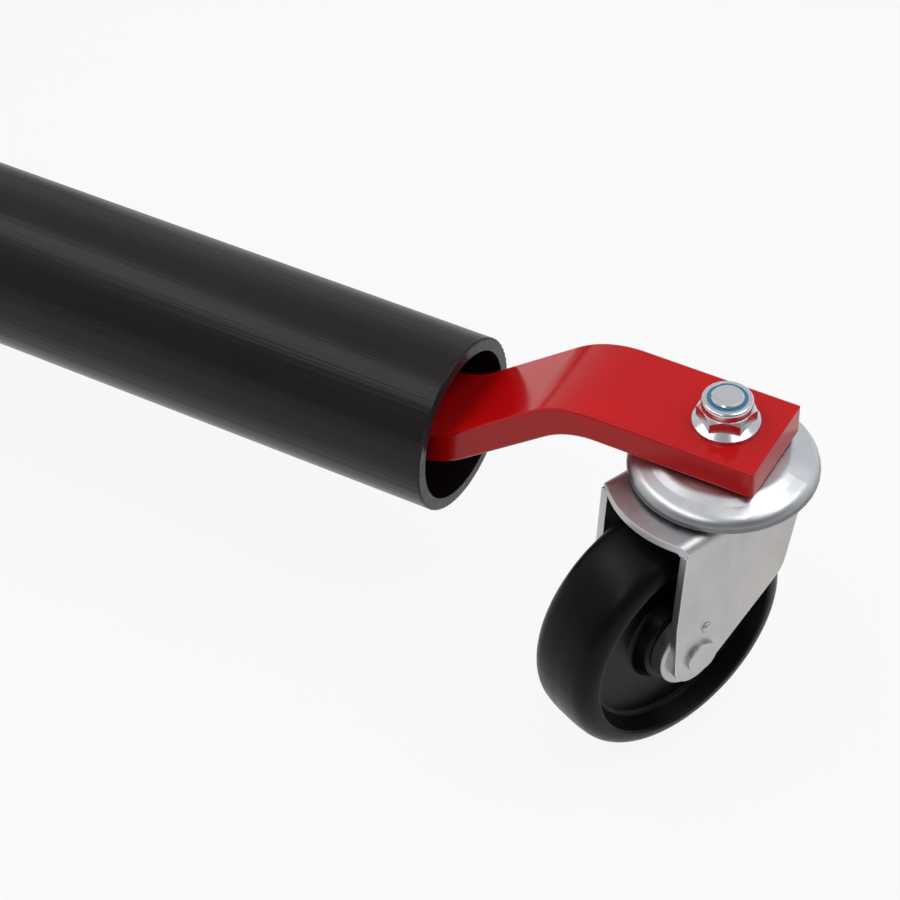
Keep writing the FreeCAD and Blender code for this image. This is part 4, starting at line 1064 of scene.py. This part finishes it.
@dataclass
class Studio:
    """Pale floor, soft light and the camera at the photograph's angle.

    Angles are in degrees, the camera's place, target, lens and sensor in millimetres, and the rest in
    metres. The room has a colour for each share of the height, and falls to dim_share of its strength over
    dim_span, the share of a direction that points to dim_side.
    """

    azimuth: float = 30.7856
    elevation: float = 44.1043
    roll: float = -1.9048
    lens: float = 110.353
    sensor: float = 36.0
    camera_at: Point = (676.04, -939.72, 811.81)
    target: Point = (380.0, -280.0, 100.0)
    floor_reach: float = 60.0
    floor_colour: str = "#C8C8C8"
    white_share: float = 0.9
    room: tuple[tuple[float, str], ...] = (
        (0.0, "#FAFAFB"), (0.25, "#E8E9EB"), (0.5, "#DBDCDF"), (1.0, "#D9DADD"))
    dim_side: Point = (0.51, -0.86, 0.0)
    dim_span: Span = (-0.2, 0.7)
    dim_share: float = 0.35
    lamps: tuple[SoftBox, ...] = (
        SoftBox("front_strip", way=(-0.37, -0.39, 0.85), distance=1.7, size=(2.2, 0.45), radiance=2.6),
        SoftBox("top_softbox", way=(0.4, 0.2, 0.9), distance=1.8, size=(1.2, 1.0), radiance=2.7))

    def camera(self) -> None:
        """Stand the camera where the photograph was taken from."""
        a, e, t = (math.radians(angle) for angle in (self.azimuth, self.elevation, self.roll))
        back = Vector((math.sin(a) * math.cos(e), -math.cos(a) * math.cos(e), math.sin(e)))
        level = Vector((math.cos(a), math.sin(a), 0))
        upright = back.cross(level)
        right = level * math.cos(t) + upright * math.sin(t)
        up = upright * math.cos(t) - level * math.sin(t)
        data = bpy.data.cameras.new("photograph")
        data.lens = self.lens
        data.sensor_width = self.sensor
        holder = bpy.data.objects.new("photograph", data)
        bpy.context.scene.collection.objects.link(holder)
        turn = Matrix((right, up, back)).transposed().to_4x4()
        holder.matrix_world = Matrix.Translation(Vector(self.camera_at) * MM) @ turn
        bpy.context.scene.camera = holder

    def floor(self) -> None:
        """Lay a pale floor that looks near white and keeps the jack's soft shadow."""
        made = bpy.data.materials.new("pale_studio_floor")
        made.use_nodes = True
        tree = made.node_tree
        tree.nodes.clear()
        path = add_node(tree, "ShaderNodeLightPath")
        seen = path.outputs["Is Camera Ray"]
        for ray in ("Is Glossy Ray", "Is Transmission Ray"):
            seen = add_node(tree, "ShaderNodeMath", {"operation": "MAXIMUM"}, {
                0: seen, 1: path.outputs[ray]}).outputs[0]
        share = add_node(tree, "ShaderNodeMath", {"operation": "MULTIPLY"}, {0: seen, 1: self.white_share})
        matt = add_node(tree, "ShaderNodeBsdfDiffuse", None, {"Color": linear(self.floor_colour)})
        white = add_node(tree, "ShaderNodeEmission", None, {"Strength": 1.0})
        mixed = add_node(tree, "ShaderNodeMixShader", None, {
            0: share.outputs[0], 1: matt.outputs[0], 2: white.outputs[0]})
        add_node(tree, "ShaderNodeOutputMaterial", None, {"Surface": mixed.outputs[0]})
        reach = self.floor_reach
        corners = [(-reach, -reach, 0), (reach, -reach, 0), (reach, reach, 0), (-reach, reach, 0)]
        mesh = bpy.data.meshes.new("studio_floor")
        mesh.from_pydata(corners, [], [(0, 1, 2, 3)])
        mesh.materials.append(made)
        shown("studio_floor", mesh)

    def world(self) -> None:
        """Surround the jack with a room: white low down, greyer above, dim on the camera's side."""
        made = bpy.data.worlds.new("studio_room")
        bpy.context.scene.world = made
        made.use_nodes = True
        tree = made.node_tree
        tree.nodes.clear()
        way = add_node(tree, "ShaderNodeTexCoord").outputs["Generated"]
        height = add_node(tree, "ShaderNodeSeparateXYZ", None, {0: way}).outputs["Z"]
        ramp = add_node(tree, "ShaderNodeValToRGB", None, {0: height})
        stops = ramp.color_ramp.elements
        for place, colour in self.room[1:-1]:
            stops.new(place).color = linear(colour)
        stops[0].color = linear(self.room[0][1])
        stops[-1].color = linear(self.room[-1][1])
        toward = add_node(tree, "ShaderNodeVectorMath", {"operation": "DOT_PRODUCT"}, {
            0: way, 1: self.dim_side})
        level = add_node(tree, "ShaderNodeMapRange", None, {
            "Value": toward.outputs["Value"], "From Min": self.dim_span[0], "From Max": self.dim_span[1],
            "To Min": 1.0, "To Max": self.dim_share})
        room = add_node(tree, "ShaderNodeBackground", None, {
            "Color": ramp.outputs[0], "Strength": level.outputs["Result"]})
        add_node(tree, "ShaderNodeOutputWorld", None, {"Surface": room.outputs[0]})

    def build(self) -> None:
        """Set up the camera, floor, room and lamps."""
        self.camera()
        self.floor()
        self.world()
        for lamp in self.lamps:
            lamp.build(Vector(self.target) * MM)


def main() -> None:
    """Build the jack's looks piece by piece, then the studio round it."""
    logging.basicConfig(level=logging.INFO, format="%(name)s: %(message)s")
    bpy.context.scene.view_settings.view_transform = "Standard"
    arms = [RollerArm(side) for side in Side]
    castors = [Castor(end, side) for side in Side for end in End]
    for assembly in (*arms, *castors, TelescopingBeam(), Ram(), Pump(), Pedal()):
        assembly.dress()
        assembly.build()
    Studio().build()


if __name__ == "__main__":
    main()
